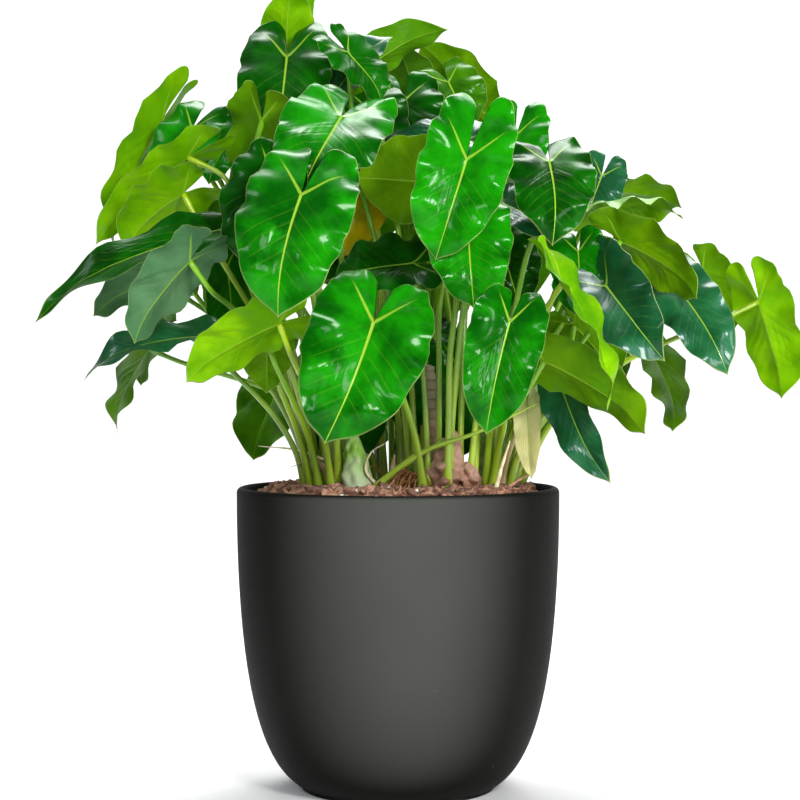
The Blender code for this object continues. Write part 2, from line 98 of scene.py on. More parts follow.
# Every leaf in centimetres and degrees:
#   stalk end  bearing round the pot (0 right, 90 back, -90 front), reach from its axis,
#              rise above its rim
#   hang       bearing that the glossy side faces, how far that side tilts up, and the turn
#              of the tip from straight down, to the right as seen from that side
#   blade      length from stalk to tip, width, lobe length as a share of the length
#   bend       droop of the midrib, fold of the two halves
LEAVES = [
    ("heart_front", "centre", (-97, 16, 14), (-85, 15, -18), (10.5, 10, 0.42), (25, 8), "glossy"),
    ("heart_middle", "centre", (-70, 16, 27), (-90, 12, -16), (8.5, 7.5, 0.72), (20, 15), "glossy"),
    ("heart_inner", "centre", (-62, 12, 22), (-88, 20, 0), (7, 7, 0.45), (20, 5), "glossy"),
    ("spear_top", "centre", (210, 4, 36), (125, 25, -130), (9, 5, 0.40), (15, 25), "glossy"),
    ("shade_top", "centre", (80, 3, 34), (-90, 25, 0), (7, 7, 0.50), (20, 5), "dark"),
    ("slate_top", "centre", (-35, 7, 30), (-110, 55, -95), (8, 6, 0.40), (20, 10), "slate"),
    ("round_back", "centre", (-55, 6, 26), (90, 20, 90), (7, 8, 0.30), (20, 5), "olive"),
    ("dark_middle", "centre", (-82, 9, 19), (-100, 45, -75), (7, 7, 0.40), (20, 5), "dark"),
    ("slate_middle", "centre", (-30, 10, 24), (-130, 45, 60), (8, 5, 0.30), (20, 5), "slate"),
    ("green_top", "centre", (-25, 11, 30), (-105, 15, -5), (7, 6, 0.50), (20, 5), "glossy"),
    ("broad_front", "left", (-115, 18, 24), (-95, 18, -14), (10, 9, 0.55), (30, -5), "glossy"),
    ("broad_upper", "left", (-126, 8, 31), (-85, 40, -22), (9.5, 9, 0.55), (25, 5), "glossy"),
    ("broad_top", "left", (197, 10, 37), (-95, 25, 0), (10, 8, 0.45), (25, 5), "dark"),
    ("lime_left", "left", (174, 21, 32), (155, 12, 26), (13, 5.5, 0.40), (15, 20), "lime"),
    ("curl_left", "left", (191, 18, 28), (105, 40, 40), (11, 4.5, 0.40), (20, 20), "lime"),
    ("gloss_left", "left", (187, 18, 31), (-110, 25, -15), (7, 6, 0.50), (25, 5), "glossy"),
    ("olive_left", "left", (209, 13, 31), (60, 10, 15), (10, 7, 0.30), (20, 5), "olive"),
    ("bright_left", "left", (198, 19, 25), (120, 40, 40), (7, 7, 0.40), (20, 5), "lime"),
    ("long_left", "left", (205, 15, 22), (-100, 45, -55), (18, 5, 0.30), (30, 15), "dark"),
    ("grey_left", "left", (183, 19, 19), (115, 45, 50), (8.5, 6, 0.30), (20, 10), "slate"),
    ("pale_left", "left", (208, 19, 19), (125, 30, 25), (8, 6, 0.40), (20, 10), "slate"),
    ("twist_left", "left", (206, 18, 13), (-110, 55, -65), (11, 4.5, 0.40), (30, 20), "slate"),
    ("yellow_left", "left", (238, 18, 14), (110, 45, 45), (9, 6.5, 0.35), (20, 10), "lime"),
    ("small_left", "left", (219, 14, 13), (90, 25, 0), (5, 4.5, 0.40), (20, 5), "olive"),
    ("bright_top", "back", (168, 10, 38), (90, 20, 180), (6, 5, 0.30), (20, 10), "lime"),
    ("blade_top", "back", (158, 8, 38), (160, 0, 180), (7, 6, 0.30), (20, 35), "lime"),
    ("fold_top", "back", (207, 6, 34), (-120, 25, 150), (7, 5, 0.40), (20, 20), "slate"),
    ("shade_right", "back", (78, 7, 35), (75, 15, 170), (5, 5, 0.40), (30, 10), "dark"),
    ("tall_right", "back", (47, 10, 34), (70, 15, 150), (7.5, 6, 0.40), (20, 10), "olive"),
    ("round_right", "back", (25, 5, 36), (-80, 20, 20), (5, 6, 0.50), (30, 5), "olive"),
    ("rear_high", "back", (100, 17, 30), (85, 20, 10), (10, 9, 0.50), (25, 8), "glossy"),
    ("rear_left", "back", (140, 19, 23), (120, 25, -15), (10, 9, 0.45), (25, 8), "glossy"),
    ("rear_right", "back", (55, 18, 24), (60, 20, 15), (10, 9, 0.50), (25, 8), "glossy"),
    ("rear_middle", "back", (95, 19, 18), (95, 15, 0), (10, 9, 0.50), (25, 8), "dark"),
    ("rear_low_left", "back", (125, 18, 10), (130, 20, 10), (9, 8, 0.45), (25, 8), "glossy"),
    ("rear_low_right", "back", (60, 18, 9), (55, 20, -10), (9, 8, 0.45), (25, 8), "glossy"),
    ("heart_right", "right", (-40, 16, 27), (-85, 30, 3), (7.5, 7, 0.55), (40, 5), "dark"),
    ("olive_right", "right", (14, 19, 26), (80, 60, -72), (7, 5, 0.40), (20, 5), "olive"),
    ("pale_right", "right", (-16, 18, 24), (90, 75, -90), (7, 7, 0.40), (20, -20), "lime"),
    ("long_right", "right", (-21, 20, 21), (50, 35, -50), (8, 6.5, 0.40), (20, 5), "olive"),
    ("drop_right", "right", (-11, 21, 20), (-60, 10, 15), (7, 4, 0.40), (20, 5), "olive"),
    ("dark_right", "right", (-34, 20.5, 17), (-128, 25, 48), (9, 7, 0.65), (20, 25), "slate"),
    ("lime_right", "right", (-50, 20, 17), (-25, 25, 12), (10.5, 5, 0.40), (10, 25), "lime"),
    ("low_right", "right", (-49, 18, 11), (60, 40, -45), (10, 6.5, 0.40), (20, 10), "olive"),
    ("hanging_right", "right", (-32, 16, 9), (-120, 10, 28), (9.5, 4.5, 0.30), (25, 30), "slate"),
    ("faded_right", "right", (-39, 14, 7), (-105, 10, 5), (6, 2.5, 0.30), (20, 20), "faded"),
    ("gloss_front", "right", (-59, 17, 14), (-90, 12, -15), (9, 6.5, 0.32), (15, 20), "glossy"),
    ("eared_right", "right", (-9, 24, 17), (-105, 30, 35), (9, 5.5, 0.65), (20, 5), "slate"),
    ("back_right", "right", (6, 27, 19), (60, 20, -25), (6, 5, 0.40), (20, 5), "olive"),
    ("far_right", "right", (-6, 31, 16), (50, 12, -8), (8.5, 6, 0.45), (15, 10), "lime"),
]

FILLERS = [
    ("mustard", "centre", (158, 3, 25), (-100, 15, -20), (5.5, 5, 0.40), (20, 5), "mustard"),
    ("inner_shade", "centre", (-12, 9, 21), (-90, 15, 15), (6, 6, 0.40), (20, 5), "dark"),
    ("round_top", "centre", (200, 4.5, 37), (-60, 30, 30), (5, 5, 0.60), (10, 5), "dark"),
    ("left_shade", "left", (192, 15, 19), (-60, 10, 0), (8, 5, 0.40), (20, 5), "dark"),
    ("left_shine", "back", (180, 13.5, 31), (-110, 35, -20), (6, 6, 0.50), (20, 5), "glossy"),
    ("left_inner", "back", (172, 12, 21), (-105, 15, -15), (6, 6, 0.40), (20, 5), "dark"),
    ("left_behind", "left", (227, 15, 26), (-110, 15, -15), (8, 7, 0.40), (20, 5), "dark"),
    ("shade_left", "back", (120, 5, 33), (-90, 15, 0), (7, 7, 0.40), (20, 5), "dark"),
    ("shade_middle", "back", (60, 6, 28), (-90, 20, 10), (8, 8, 0.45), (20, 5), "dark"),
    ("shade_inner", "back", (150, 6, 25), (-85, 20, -10), (8, 8, 0.45), (20, 5), "dark"),
    ("lobed_right", "right", (-10, 18, 27), (-90, 15, -20), (5, 4.5, 0.50), (20, 5), "slate"),
    ("gloss_right", "right", (-28, 17, 20), (-110, 20, 10), (6, 5, 0.40), (20, 5), "glossy"),
    ("olive_low", "right", (-22, 16, 14), (75, 25, -35), (6, 6, 0.40), (20, 5), "olive"),
    ("rear_far_left", "back", (160, 21, 17), (165, 25, 5), (9, 8, 0.45), (25, 8), "glossy"),
    ("rear_far_right", "back", (30, 20, 15), (35, 20, -5), (9, 8, 0.45), (25, 8), "glossy"),
    ("rear_crown_left", "back", (130, 12, 36), (125, 35, 10), (9, 8, 0.50), (25, 8), "glossy"),
    ("rear_crown_right", "back", (55, 12, 33), (60, 30, -10), (9, 8, 0.50), (25, 8), "glossy"),
    ("rear_inner_left", "back", (115, 14, 25), (110, 20, -15), (9, 8, 0.45), (25, 8), "dark"),
    ("rear_inner_right", "back", (75, 14, 22), (75, 20, 15), (9, 8, 0.45), (25, 8), "dark"),
    ("rear_low", "back", (95, 16, 11), (90, 15, 0), (8, 7, 0.45), (20, 8), "dark"),
    ("rear_edge_left", "back", (175, 22, 12), (170, 25, 0), (8, 7, 0.40), (20, 8), "olive"),
    ("low_shade_left", "back", (150, 6, 9), (-90, 10, 10), (8, 8, 0.40), (20, 5), "dark"),
    ("low_shade_right", "right", (45, 8, 10), (-90, 10, -10), (8, 8, 0.40), (20, 5), "dark"),
    ("low_shade_back", "back", (75, 8, 12), (-90, 10, 0), (8, 8, 0.40), (20, 5), "dark"),
    ("rear_edge_right", "back", (20, 24, 12), (25, 25, 0), (8, 7, 0.40), (20, 8), "olive"),
]
print(len(LEAVES), "leaves with a solid,", len(FILLERS), "fillers")

# %% [markdown]
# ## The shape of a leaf
# A heart-shaped blade is two curves: a lobe that swings back round the stalk and a flank that runs
# out to the tip. Every point of the blade lies between the stalk's end and that edge, so a
# leaf is a fan of rays. The flat fan is then bent along the midrib, folded a little and rippled
# at the edge, which keeps its width and length while it moves in space.

# %% Curves and the leaf
def unit(vector):
    return vector / np.linalg.norm(vector)


def bezier(points, count, start=0.0):
    """Points along a cubic curve given by its four control points."""
    t = np.linspace(start, 1, count)[:, None]
    p0, p1, p2, p3 = [np.asarray(p, float) for p in points]
    return (1 - t) ** 3 * p0 + 3 * (1 - t) ** 2 * t * p1 + 3 * (1 - t) * t**2 * p2 + t**3 * p3


class Leaf:
    """One leaf: where its stalk ends, how the blade hangs, and the route of the stalk."""

    def __init__(self, row):
        self.name, self.cane, end, hang, blade, bend, self.tone = row
        bearing, reach, rise = end
        round_pot = math.radians(bearing)
        self.end = np.array(
            (
                reach * CM * math.cos(round_pot),
                reach * CM * math.sin(round_pot),
                POT_HEIGHT + rise * CM,
            )
        )
        face, tilt, turn = [math.radians(a) for a in hang]
        level = np.array((math.cos(face), math.sin(face), 0))
        up = np.array((0, 0, 1))
        self.normal = math.cos(tilt) * level + math.sin(tilt) * up
        down = math.sin(tilt) * level - math.cos(tilt) * up
        right = np.array((-math.sin(face), math.cos(face), 0))
        self.tip = math.cos(turn) * down + math.sin(turn) * right
        self.across = np.cross(self.normal, self.tip)
        self.length, self.width, self.lobe = blade[0] * CM, blade[1] * CM, blade[2]
        self.droop, self.fold = math.radians(bend[0]), math.radians(bend[1])
        self.phase = 0.7 * sum(end)

    def outline(self, lobe_steps, flank_steps):
        """Half the blade's edge as (along, across) points, from the lobe round to the tip."""
        half, back = self.width / 2, self.lobe * self.length
        widest = np.array((0.12 * self.length, half))
        lobe = bezier(
            ((0, 0), (-1.6 * back, -0.05 * half), (-1.2 * back, half), widest), lobe_steps, 0.24
        )
        ahead, point = np.array((0.62 * self.length, 0)), np.array((self.length, 0))
        shoulder = (0.88 * self.length, 0.50 * half)
        flank = bezier((widest, widest + ahead, shoulder, point), flank_steps + 1)
        return np.vstack((lobe, flank[1:]))

    def surface(self, flat, share):
        """Place flat (along, across) points on the bent and folded blade."""
        along, across = flat[:, 0], flat[:, 1]
        lift = math.sin(self.fold) * (np.sqrt(across**2 + (2 * HUB) ** 2) - 2 * HUB)
        wave = np.sin(5 * np.arctan2(across, along) + self.phase)
        lift = lift + 0.030 * self.width * share**2 * wave
        rate = max(self.droop, 0.01) / self.length
        start = 0.5 * rate * self.length
        angle = start - rate * along
        x = (math.sin(start) - np.sin(angle)) / rate
        z = (np.cos(angle) - math.cos(start)) / rate
        return (
            self.end
            + np.outer(x - lift * np.sin(angle), self.tip)
            + np.outer(z + lift * np.cos(angle), self.normal)
            + np.outer(across * math.cos(self.fold), self.across)
        )

    def ring(self, share, lobe_steps=4, flank_steps=4):
        """Points round the blade at a share of the way from its hub to its edge."""
        half = self.outline(lobe_steps, flank_steps)
        edge = np.vstack((half * (1, -1), half[-2::-1]))
        reach = np.linalg.norm(edge, axis=1)[:, None]
        return self.surface(edge / reach * (HUB + (reach - HUB) * share), share)

    def start_route(self, base):
        """First guess of the stalk's route: up from its base and over into the blade."""
        span = np.linalg.norm(self.end - base)
        way = unit(self.end - base)
        below = way - min(0, way @ self.normal) * self.normal
        into = unit(0.75 * self.normal + 0.7 * below)
        lean = unit(np.array((0.35 * way[0], 0.35 * way[1], 1.0)))
        controls = (base, base + 0.45 * span * lean, self.end - 0.28 * span * into, self.end)
        self.route = bezier(controls, ROUTE_POINTS)
        self.into = into


# %% [markdown]
# ## Standing the stalks and settling the leaves
# Stalks rise from the soil round their cane: the steep ones close in and the leaning ones further
# out, in the order in which their leaves fan. The leaves could be placed by hand until none
# touches, but every change would start that again. So they are eased apart a little at a time,
# blades forwards or backwards and stalks sideways, as a crowded bush sorts itself out as it grows.

# %% Stalk bases
def place_bases(leaves):
    """Stand the stalks round their cane: steep ones close in, leaning ones further out."""
    for cane, (x, y, radius, _) in CANES.items():
        centre = np.array((x * CM, y * CM, BASE_LEVEL))
        own = [leaf for leaf in leaves if leaf.cane == cane]
        steep = [unit(leaf.end - centre)[2] for leaf in own]
        order = [own[k] for k in np.argsort(steep)[::-1]]
        third = math.ceil(len(order) / 3)
        for ring in range(3):
            members = order[ring * third : (ring + 1) * third]
            if not members:
                continue
            out = 1.3 * radius * CM + (2.2 + 3.2 * ring) * STALK_RADIUS
            turns = spread([math.atan2(*(leaf.end - centre)[1::-1]) for leaf in members], out)
            for leaf, turn in zip(members, turns):
                base = centre + out * np.array((math.cos(turn), math.sin(turn), 0))
                leaf.start_route(on_soil(base))


def on_soil(base):
    """Keep a stalk's base on the level top of the soil."""
    out = np.linalg.norm(base[:2])
    return base * (*[min(1, (PLATEAU - 2 * STALK_RADIUS) / out)] * 2, 1)


def spread(turns, radius):
    """Move directions apart until stalks on a ring of this radius have room."""
    room = 3.0 * STALK_RADIUS / radius
    order = np.argsort(turns)
    placed = np.array(turns)[order]
    for _ in range(60):
        gaps = np.diff(np.append(placed, placed[0] + math.tau))
        lack = np.maximum(room - gaps, 0) / 2
        placed += np.roll(lack, 1) - lack
    result = np.empty(len(turns))
    result[order] = placed
    return result


# %% Clearances
def near_pairs(clouds, others, clear):
    """Index pairs of the clouds whose boxes come within the clearance of each other."""
    low = np.array([cloud.min(axis=0) for cloud in clouds]) - clear
    high = np.array([cloud.max(axis=0) for cloud in clouds]) + clear
    low_other = np.array([cloud.min(axis=0) for cloud in others])
    high_other = np.array([cloud.max(axis=0) for cloud in others])
    meet = (low[:, None] <= high_other[None]) & (high[:, None] >= low_other[None])
    return np.argwhere(meet.all(axis=2))


def gaps_between(first, second):
    """Distance from each point of the first cloud to each point of the second."""
    return np.linalg.norm(first[:, None] - second[None], axis=2)


def push_stalk(dense, other, clear, face=None, middle=None):
    """How far each point of a stalk should move to keep clear of another cloud."""
    gaps = gaps_between(dense, other)
    nearest, distance = gaps.argmin(axis=1), gaps.min(axis=1)
    close = distance < clear
    if not close.any():
        return np.zeros_like(dense)
    offset = dense - other[nearest]
    push = offset / np.maximum(distance, 1e-5)[:, None] * (clear - distance)[:, None]
    if face is not None:
        side = offset[close] @ face
        if side.min() < -0.0005 and side.max() > 0.0005:
            out = dense[close].mean(axis=0) - middle
            out -= (out @ face) * face
            push[:] = 0.003 * unit(out)
    return push * close[:, None]


def trunk_lines():
    """The axis of each cane as a line of points, and the clearance a stalk's middle needs."""
    lines = []
    for x, y, radius, height in CANES.values():
        levels = BASE_LEVEL + np.linspace(0, height * CM, 12)
        line = np.column_stack((np.full(12, x * CM), np.full(12, y * CM), levels))
        lines.append((line, 1.35 * radius * CM + STALK_RADIUS))
    return lines


# %% Settling
def settle(leaves, steps=120, still=0):
    """Ease blades forwards or backwards, and stalks sideways, until nothing touches.

    The first `still` leaves hold their place, and the rest make way for them."""
    spots = np.linspace(0, ROUTE_POINTS - 1, 29)
    weights = np.maximum(0, 1 - abs(spots[:, None] - np.arange(ROUTE_POINTS)[None]))
    free = np.ones((ROUTE_POINTS, 3))
    free[0, 2] = free[-1] = 0
    slide = np.linspace(0, 1, ROUTE_POINTS)
    shares = (0.15, 0.32, 0.48, 0.62, 0.75, 0.88, 1.0)
    blades = [np.vstack([leaf.ring(s, 7, 9) for s in shares]) for leaf in leaves]
    trunks = trunk_lines()
    for _ in range(steps):
        moved = False
        for i, j in near_pairs(blades, blades, BLADE_CLEAR):
            if j >= i or i < still:
                continue
            least = gaps_between(blades[i], blades[j]).min()
            if least >= BLADE_CLEAR:
                continue
            moved = True
            ahead = blades[i][:, 1].mean() > blades[j][:, 1].mean()
            step = (0.3 * (BLADE_CLEAR - least) + 0.0004) * (1 if ahead else -1)
            for k, sign in ((i, 1), (j, -1)):
                if k < still:
                    continue
                blades[k][:, 1] += sign * step
                leaves[k].end[1] += sign * step
                leaves[k].route[:, 1] += sign * step * slide
        clouds = [weights @ leaf.route for leaf in leaves]
        pushes = [np.zeros_like(cloud) for cloud in clouds]
        for i, cloud in enumerate(clouds):
            if i < still:
                continue
            for line, clear in trunks:
                pushes[i] += push_stalk(cloud, line, clear)
        for i, j in near_pairs(clouds, clouds, STALK_CLEAR):
            if i != j and i >= still:
                pushes[i] += push_stalk(clouds[i], clouds[j], STALK_CLEAR)
        for i, j in near_pairs(clouds, blades, MIXED_CLEAR):
            if i < still:
                continue
            part = slice(0, 17 if i == j else 27)
            facing = leaves[j].normal, blades[j].mean(axis=0)
            pushes[i][part] += push_stalk(clouds[i][part], blades[j], MIXED_CLEAR, *facing)
        for leaf, push in zip(leaves[still:], pushes[still:]):
            if abs(push * (1, 1, 0)).max() > 1e-5:
                moved = True
                pushed = weights.T @ (abs(push).max(axis=1) > 0)
                leaf.route += 0.5 * free * (weights.T @ push) / np.maximum(pushed, 1)[:, None]
                leaf.route[0] = on_soil(leaf.route[0])
        if not moved:
            break


plant = [Leaf(row) for row in LEAVES]
place_bases(plant)
settle(plant)
extra = [Leaf(row) for row in FILLERS]
place_bases(extra)
settle(plant + extra, 30, len(plant))
slip = [abs(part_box(f"leaf_{leaf.name}")[1][0] - leaf.ring(1.0)[:, 0].max()) for leaf in plant]
print("usual slip between a leaf and its solid", round(1000 * float(np.median(slip)), 2), "mm")

# %% [markdown]
# ## Putting a surface into a mesh
# Every new piece is worked out as arrays: points, faces, a UV pair for each point and a few plain
# numbers that its finish can read. One function turns them into a smooth-shaded piece, joins it
# to the frame and hides the solid it stands for. The helpers after it give the faces of a grid,
# turn an outline about the axis, and carry an oval along a path.

# %% Mesh helpers
def put(name, points, faces, looks, stands_for=(), uv=None, values=None, which=None):
    """Make a piece from arrays; `which` gives each face its material's place in `looks`."""
    mesh = bpy.data.meshes.new(name)
    mesh.from_pydata(points.tolist(), [], [list(face) for face in faces])
    mesh.update()
    if uv is not None:
        corner_of = np.empty(len(mesh.loops), dtype=np.int32)
        mesh.loops.foreach_get("vertex_index", corner_of)
        layer = mesh.uv_layers.new(name="blade")
        layer.data.foreach_set("uv", np.asarray(uv, np.float32)[corner_of].ravel())
    for label, numbers in (values or {}).items():
        attribute = mesh.attributes.new(label, "FLOAT", "POINT")
        attribute.data.foreach_set("value", np.asarray(numbers, np.float32))
    for look in looks:
        mesh.materials.append(look)
    if which is not None:
        mesh.polygons.foreach_set("material_index", np.asarray(which, np.int32))
    mesh.shade_smooth()
    piece = bpy.data.objects.new(name, mesh)
    bpy.context.scene.collection.objects.link(piece)
    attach(piece, "root")
    for node in stands_for:
        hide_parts(node)
    return piece


def grid_faces(rows, columns, wrap=False, first=0):
    """Quads of a grid of points stored row by row; with wrap, the last column meets the first."""
    across = columns if wrap else columns - 1
    row, column = np.meshgrid(np.arange(rows - 1), np.arange(across), indexing="ij")
    here = first + row * columns + column
    beside = first + row * columns + (column + 1) % columns
    return np.stack((here, beside, beside + columns, here + columns), axis=-1).reshape(-1, 4)


def closed_faces(rows, sides):
    """Faces of a stack of rings that ends in a point at both ends. The two end points are stored
    after the rings, the first ring's before the last one's."""
    low, high, top = rows * sides, rows * sides + 1, (rows - 1) * sides
    pairs = [(a, (a + 1) % sides) for a in range(sides)]
    fans = [(low, b, a) for a, b in pairs] + [(high, top + a, top + b) for a, b in pairs]
    return grid_faces(rows, sides, wrap=True).tolist() + fans


def lathe(outline, sides):
    """Turn (radius, height) points, which start and end on the axis, into a closed shape."""
    outline = np.asarray(outline, float)
    out, height = outline[1:-1].T
    turn = np.linspace(0, math.tau, sides, endpoint=False)
    rings = np.stack((np.outer(out, np.cos(turn)), np.outer(out, np.sin(turn)),
                      np.outer(height, np.ones(sides))), axis=-1).reshape(-1, 3)
    points = np.vstack((rings, (0, 0, outline[0, 1]), (0, 0, outline[-1, 1])))
    return points, closed_faces(len(out), sides)


def tube(path, wide, thin, side, sides=10):
    """Carry an oval profile along a path; both ends close on a point.

    Each ring is centred on the path, square to its direction, with its wide axis along
    the side vector as far as the direction allows.
    """
    path = np.asarray(path, float)
    way = np.gradient(path, axis=0)
    way /= np.linalg.norm(way, axis=1)[:, None]
    lateral = side - way * (way @ side)[:, None]
    lateral /= np.linalg.norm(lateral, axis=1)[:, None]
    upward = np.cross(way, lateral)
    turn = np.linspace(0, math.tau, sides, endpoint=False)
    wide = np.broadcast_to(wide, len(path))[:, None, None]
    thin = np.broadcast_to(thin, len(path))[:, None, None]
    rings = (
        path[:, None]
        + wide * np.cos(turn)[None, :, None] * lateral[:, None]
        + thin * np.sin(turn)[None, :, None] * upward[:, None]
    ).reshape(-1, 3)
    return np.vstack((rings, path[0], path[-1])), closed_faces(len(path), sides)


def smooth_path(points, count):
    """A curve through the points: each stretch is a cubic that leaves and arrives along
    the line between its neighbours."""
    points = np.asarray(points, float)
    ends = np.vstack((2 * points[0] - points[1], points, 2 * points[-1] - points[-2]))
    place = np.linspace(0, len(points) - 1 - 1e-9, count)
    k = place.astype(int)
    t = (place - k)[:, None]
    p0, p1, p2, p3 = ends[k], ends[k + 1], ends[k + 2], ends[k + 3]
    return 0.5 * (
        2 * p1 + (p2 - p0) * t + (2 * p0 - 5 * p1 + 4 * p2 - p3) * t**2
        + (3 * p1 - p0 - 3 * p2 + p3) * t**3
    )


def ripple(x, y, size, seed):
    """Soft random ups and downs between about -1 and 1: a sum of slanted waves."""
    rng = np.random.default_rng(seed)
    total = np.zeros_like(x)
    for _ in range(7):
        bearing, phase = rng.uniform(0, math.tau, 2)
        pitch = math.tau / (size * rng.uniform(0.6, 1.6))
        total += np.sin(pitch * (x * math.cos(bearing) + y * math.sin(bearing)) + phase)
    return total / 3.5


# %% [markdown]
# ## Writing finishes as sums
# A finish is a small network of nodes. It reads best as arithmetic, so one class wraps a socket
# and lets plus, minus, times and the rest add Math nodes. Colours go through Mix nodes instead,
# because a Math node would turn them grey.

# %% Finish helpers
class Wire:
    """A socket that can be added, subtracted, multiplied, divided or made positive."""

    def __init__(self, finish, socket):
        self.finish, self.socket = finish, socket

    def math(self, operation, first, second=0.0):
        return self.finish.node("ShaderNodeMath", {"operation": operation}, {0: first, 1: second})

    def __add__(self, other):
        return self.math("ADD", self, other)

    def __radd__(self, other):
        return self.math("ADD", other, self)

    def __sub__(self, other):
        return self.math("SUBTRACT", self, other)

    def __rsub__(self, other):
        return self.math("SUBTRACT", other, self)

    def __mul__(self, other):
        return self.math("MULTIPLY", self, other)

    def __rmul__(self, other):
        return self.math("MULTIPLY", other, self)

    def __truediv__(self, other):
        return self.math("DIVIDE", self, other)

    def __abs__(self):
        return self.math("ABSOLUTE", self)

    def fraction(self):
        return self.math("FRACT", self)

    def ramp(self, low, high, start=0.0, end=1.0):
        """Rise smoothly from start to end while the value goes from low to high."""
        sockets = {0: self, 1: low, 2: high, 3: start, 4: end}
        return self.finish.node("ShaderNodeMapRange", {"interpolation_type": "SMOOTHSTEP"}, sockets)


class Finish:
    """A material under construction, with one method for every kind of node."""

    def __init__(self, name):
        self.material = bpy.data.materials.new(name)
        self.material.use_nodes = True
        self.tree = self.material.node_tree
        self.shader = self.tree.nodes["Principled BSDF"]
        self.output = self.tree.nodes["Material Output"]

    def feed(self, socket, value):
        if isinstance(value, Wire):
            self.tree.links.new(value.socket, socket)
        elif isinstance(value, tuple) and len(value) == 3 and len(socket.default_value) == 4:
            socket.default_value = (*value, 1.0)
        else:
            socket.default_value = value

    def node(self, kind, settings=None, sockets=None, out=0):
        made = self.tree.nodes.new(kind)
        for key, value in (settings or {}).items():
            setattr(made, key, value)
        for key, value in (sockets or {}).items():
            self.feed(made.inputs[key], value)
        return Wire(self, made.outputs[out])

    def blend(self, share, first, second):
        """Mix two colours."""
        sockets = {0: share, 6: first, 7: second}
        return self.node("ShaderNodeMix", {"data_type": "RGBA"}, sockets, 2)

    def place(self):
        return self.node("ShaderNodeTexCoord", out="Object")

    def noise(self, scale, detail=3.0, rough=0.5, at=None):
        sockets = {"Vector": at or self.place(), "Scale": scale, "Detail": detail,
                   "Roughness": rough}
        return self.node("ShaderNodeTexNoise", None, sockets)

    def value(self, label):
        return self.node("ShaderNodeAttribute", {"attribute_name": label}, out="Fac")

    def bump(self, height, depth, strength):
        sockets = {"Height": height, "Distance": depth, "Strength": strength}
        self.set("Normal", self.node("ShaderNodeBump", None, sockets))

    def set(self, label, value):
        self.feed(self.shader.inputs[label], value)

    def surface(self, colour, rough, relief, depth, strength):
        """The three things that every finish here has: colour, roughness and relief."""
        self.set("Base Color", colour)
        self.set("Roughness", rough)
        self.bump(relief, depth, strength)
        return self.material

    def glow(self, share, colour):
        """Let some light through, as a thin leaf does."""
        through = self.node("ShaderNodeBsdfTranslucent", None, {"Color": colour})
        shaders = {0: share, 1: Wire(self, self.shader.outputs[0]), 2: through}
        both = self.node("ShaderNodeMixShader", None, shaders)
        self.tree.links.new(both.socket, self.output.inputs["Surface"])


# %% [markdown]
# ## Leaf finishes
# A philodendron blade is waxy above, with a pale midrib, two ribs that run into the lobes, faint
# side veins and a hair-thin pale edge. Underneath it is duller and more yellow. Light shines
# through it, which makes the backs and the young leaves glow lime. The veins could be painted on
# an image, but drawn from the blade's own two coordinates, along the midrib and across it, they
# stay sharp and follow every bend.

# %% Leaf finishes
RIB = (0.330, 0.560, 0.040)
EDGE = (0.560, 0.700, 0.200)
SHEEN = (0.10, 0.60, 0.08)
BLUE_SHEEN = (0.55, 0.85, 1.0)
VEINS = 8  # side veins on each half of a blade
VEIN_SLANT = 0.42  # how far a side vein runs ahead on its way to the edge


def leaf_finish(name, deep, fresh, rib, rough, coat, through, rib_share=1.0, sheen=SHEEN):
    """One side of a blade: mottled between two greens, with veins, ribs and a pale edge."""
    f = Finish(name)
    both = f.node("ShaderNodeUVMap", {"uv_map": "blade"})
    along = f.node("ShaderNodeSeparateXYZ", None, {0: both}, 0)
    across = abs(f.node("ShaderNodeSeparateXYZ", None, {0: both}, 1))
    out = f.value("edge")
    ahead = along.ramp(-0.01, 0.02)
    midrib = (across / (0.034 - 0.026 * along)).ramp(0.55, 1.0, 1.0, 0.0) * ahead
    lobe_rib = (abs(across + along * 1.9) / (0.065 - 0.055 * out)).ramp(0.3, 1.0, 1.0, 0.0)
    lobe_rib = lobe_rib * (1 - ahead) * out.ramp(0.45, 0.95, 1.0, 0.0)
    slant = along - VEIN_SLANT * across
    from_vein = abs((slant * VEINS).fraction() - 0.5) * 2.0
    ribbed = slant.ramp(-0.08, 0.10) * out.ramp(0.75, 1.0, 1.0, 0.0)
    vein = from_vein.ramp(0.84, 1.0) * ribbed
    fine = (slant * 45.0).fraction()
    mottle = f.noise(38.0, 4.0, 0.6)
    broad = f.noise(9.0, 2.0)
    colour = f.blend((mottle * 0.5 + broad * 0.5).ramp(0.36, 0.64), deep, fresh)
    colour = f.blend(vein * 0.10 * rib_share, colour, rib)
    colour = f.blend((midrib + lobe_rib * 0.7).ramp(0.0, 1.0) * rib_share, colour, rib)
    colour = f.blend(out.ramp(0.982, 0.998) * 0.60, colour, EDGE)
    f.set("Coat Weight", coat)
    f.set("Coat Roughness", 0.12)
    f.set("Specular IOR Level", 0.26)
    f.set("Specular Tint", sheen)
    f.glow(through, f.blend(mottle, fresh, rib))
    relief = from_vein.ramp(0.55, 1.0, 0.6, 0.0) * ribbed + (1 - midrib) * 0.8 + mottle * 0.45
    relief = relief + abs(fine - 0.5) * 0.10 * ribbed
    gloss = mottle.ramp(0.3, 0.7, rough - 0.05, rough + 0.08)
    return f.surface(colour, gloss, relief, 0.0007, 0.45)


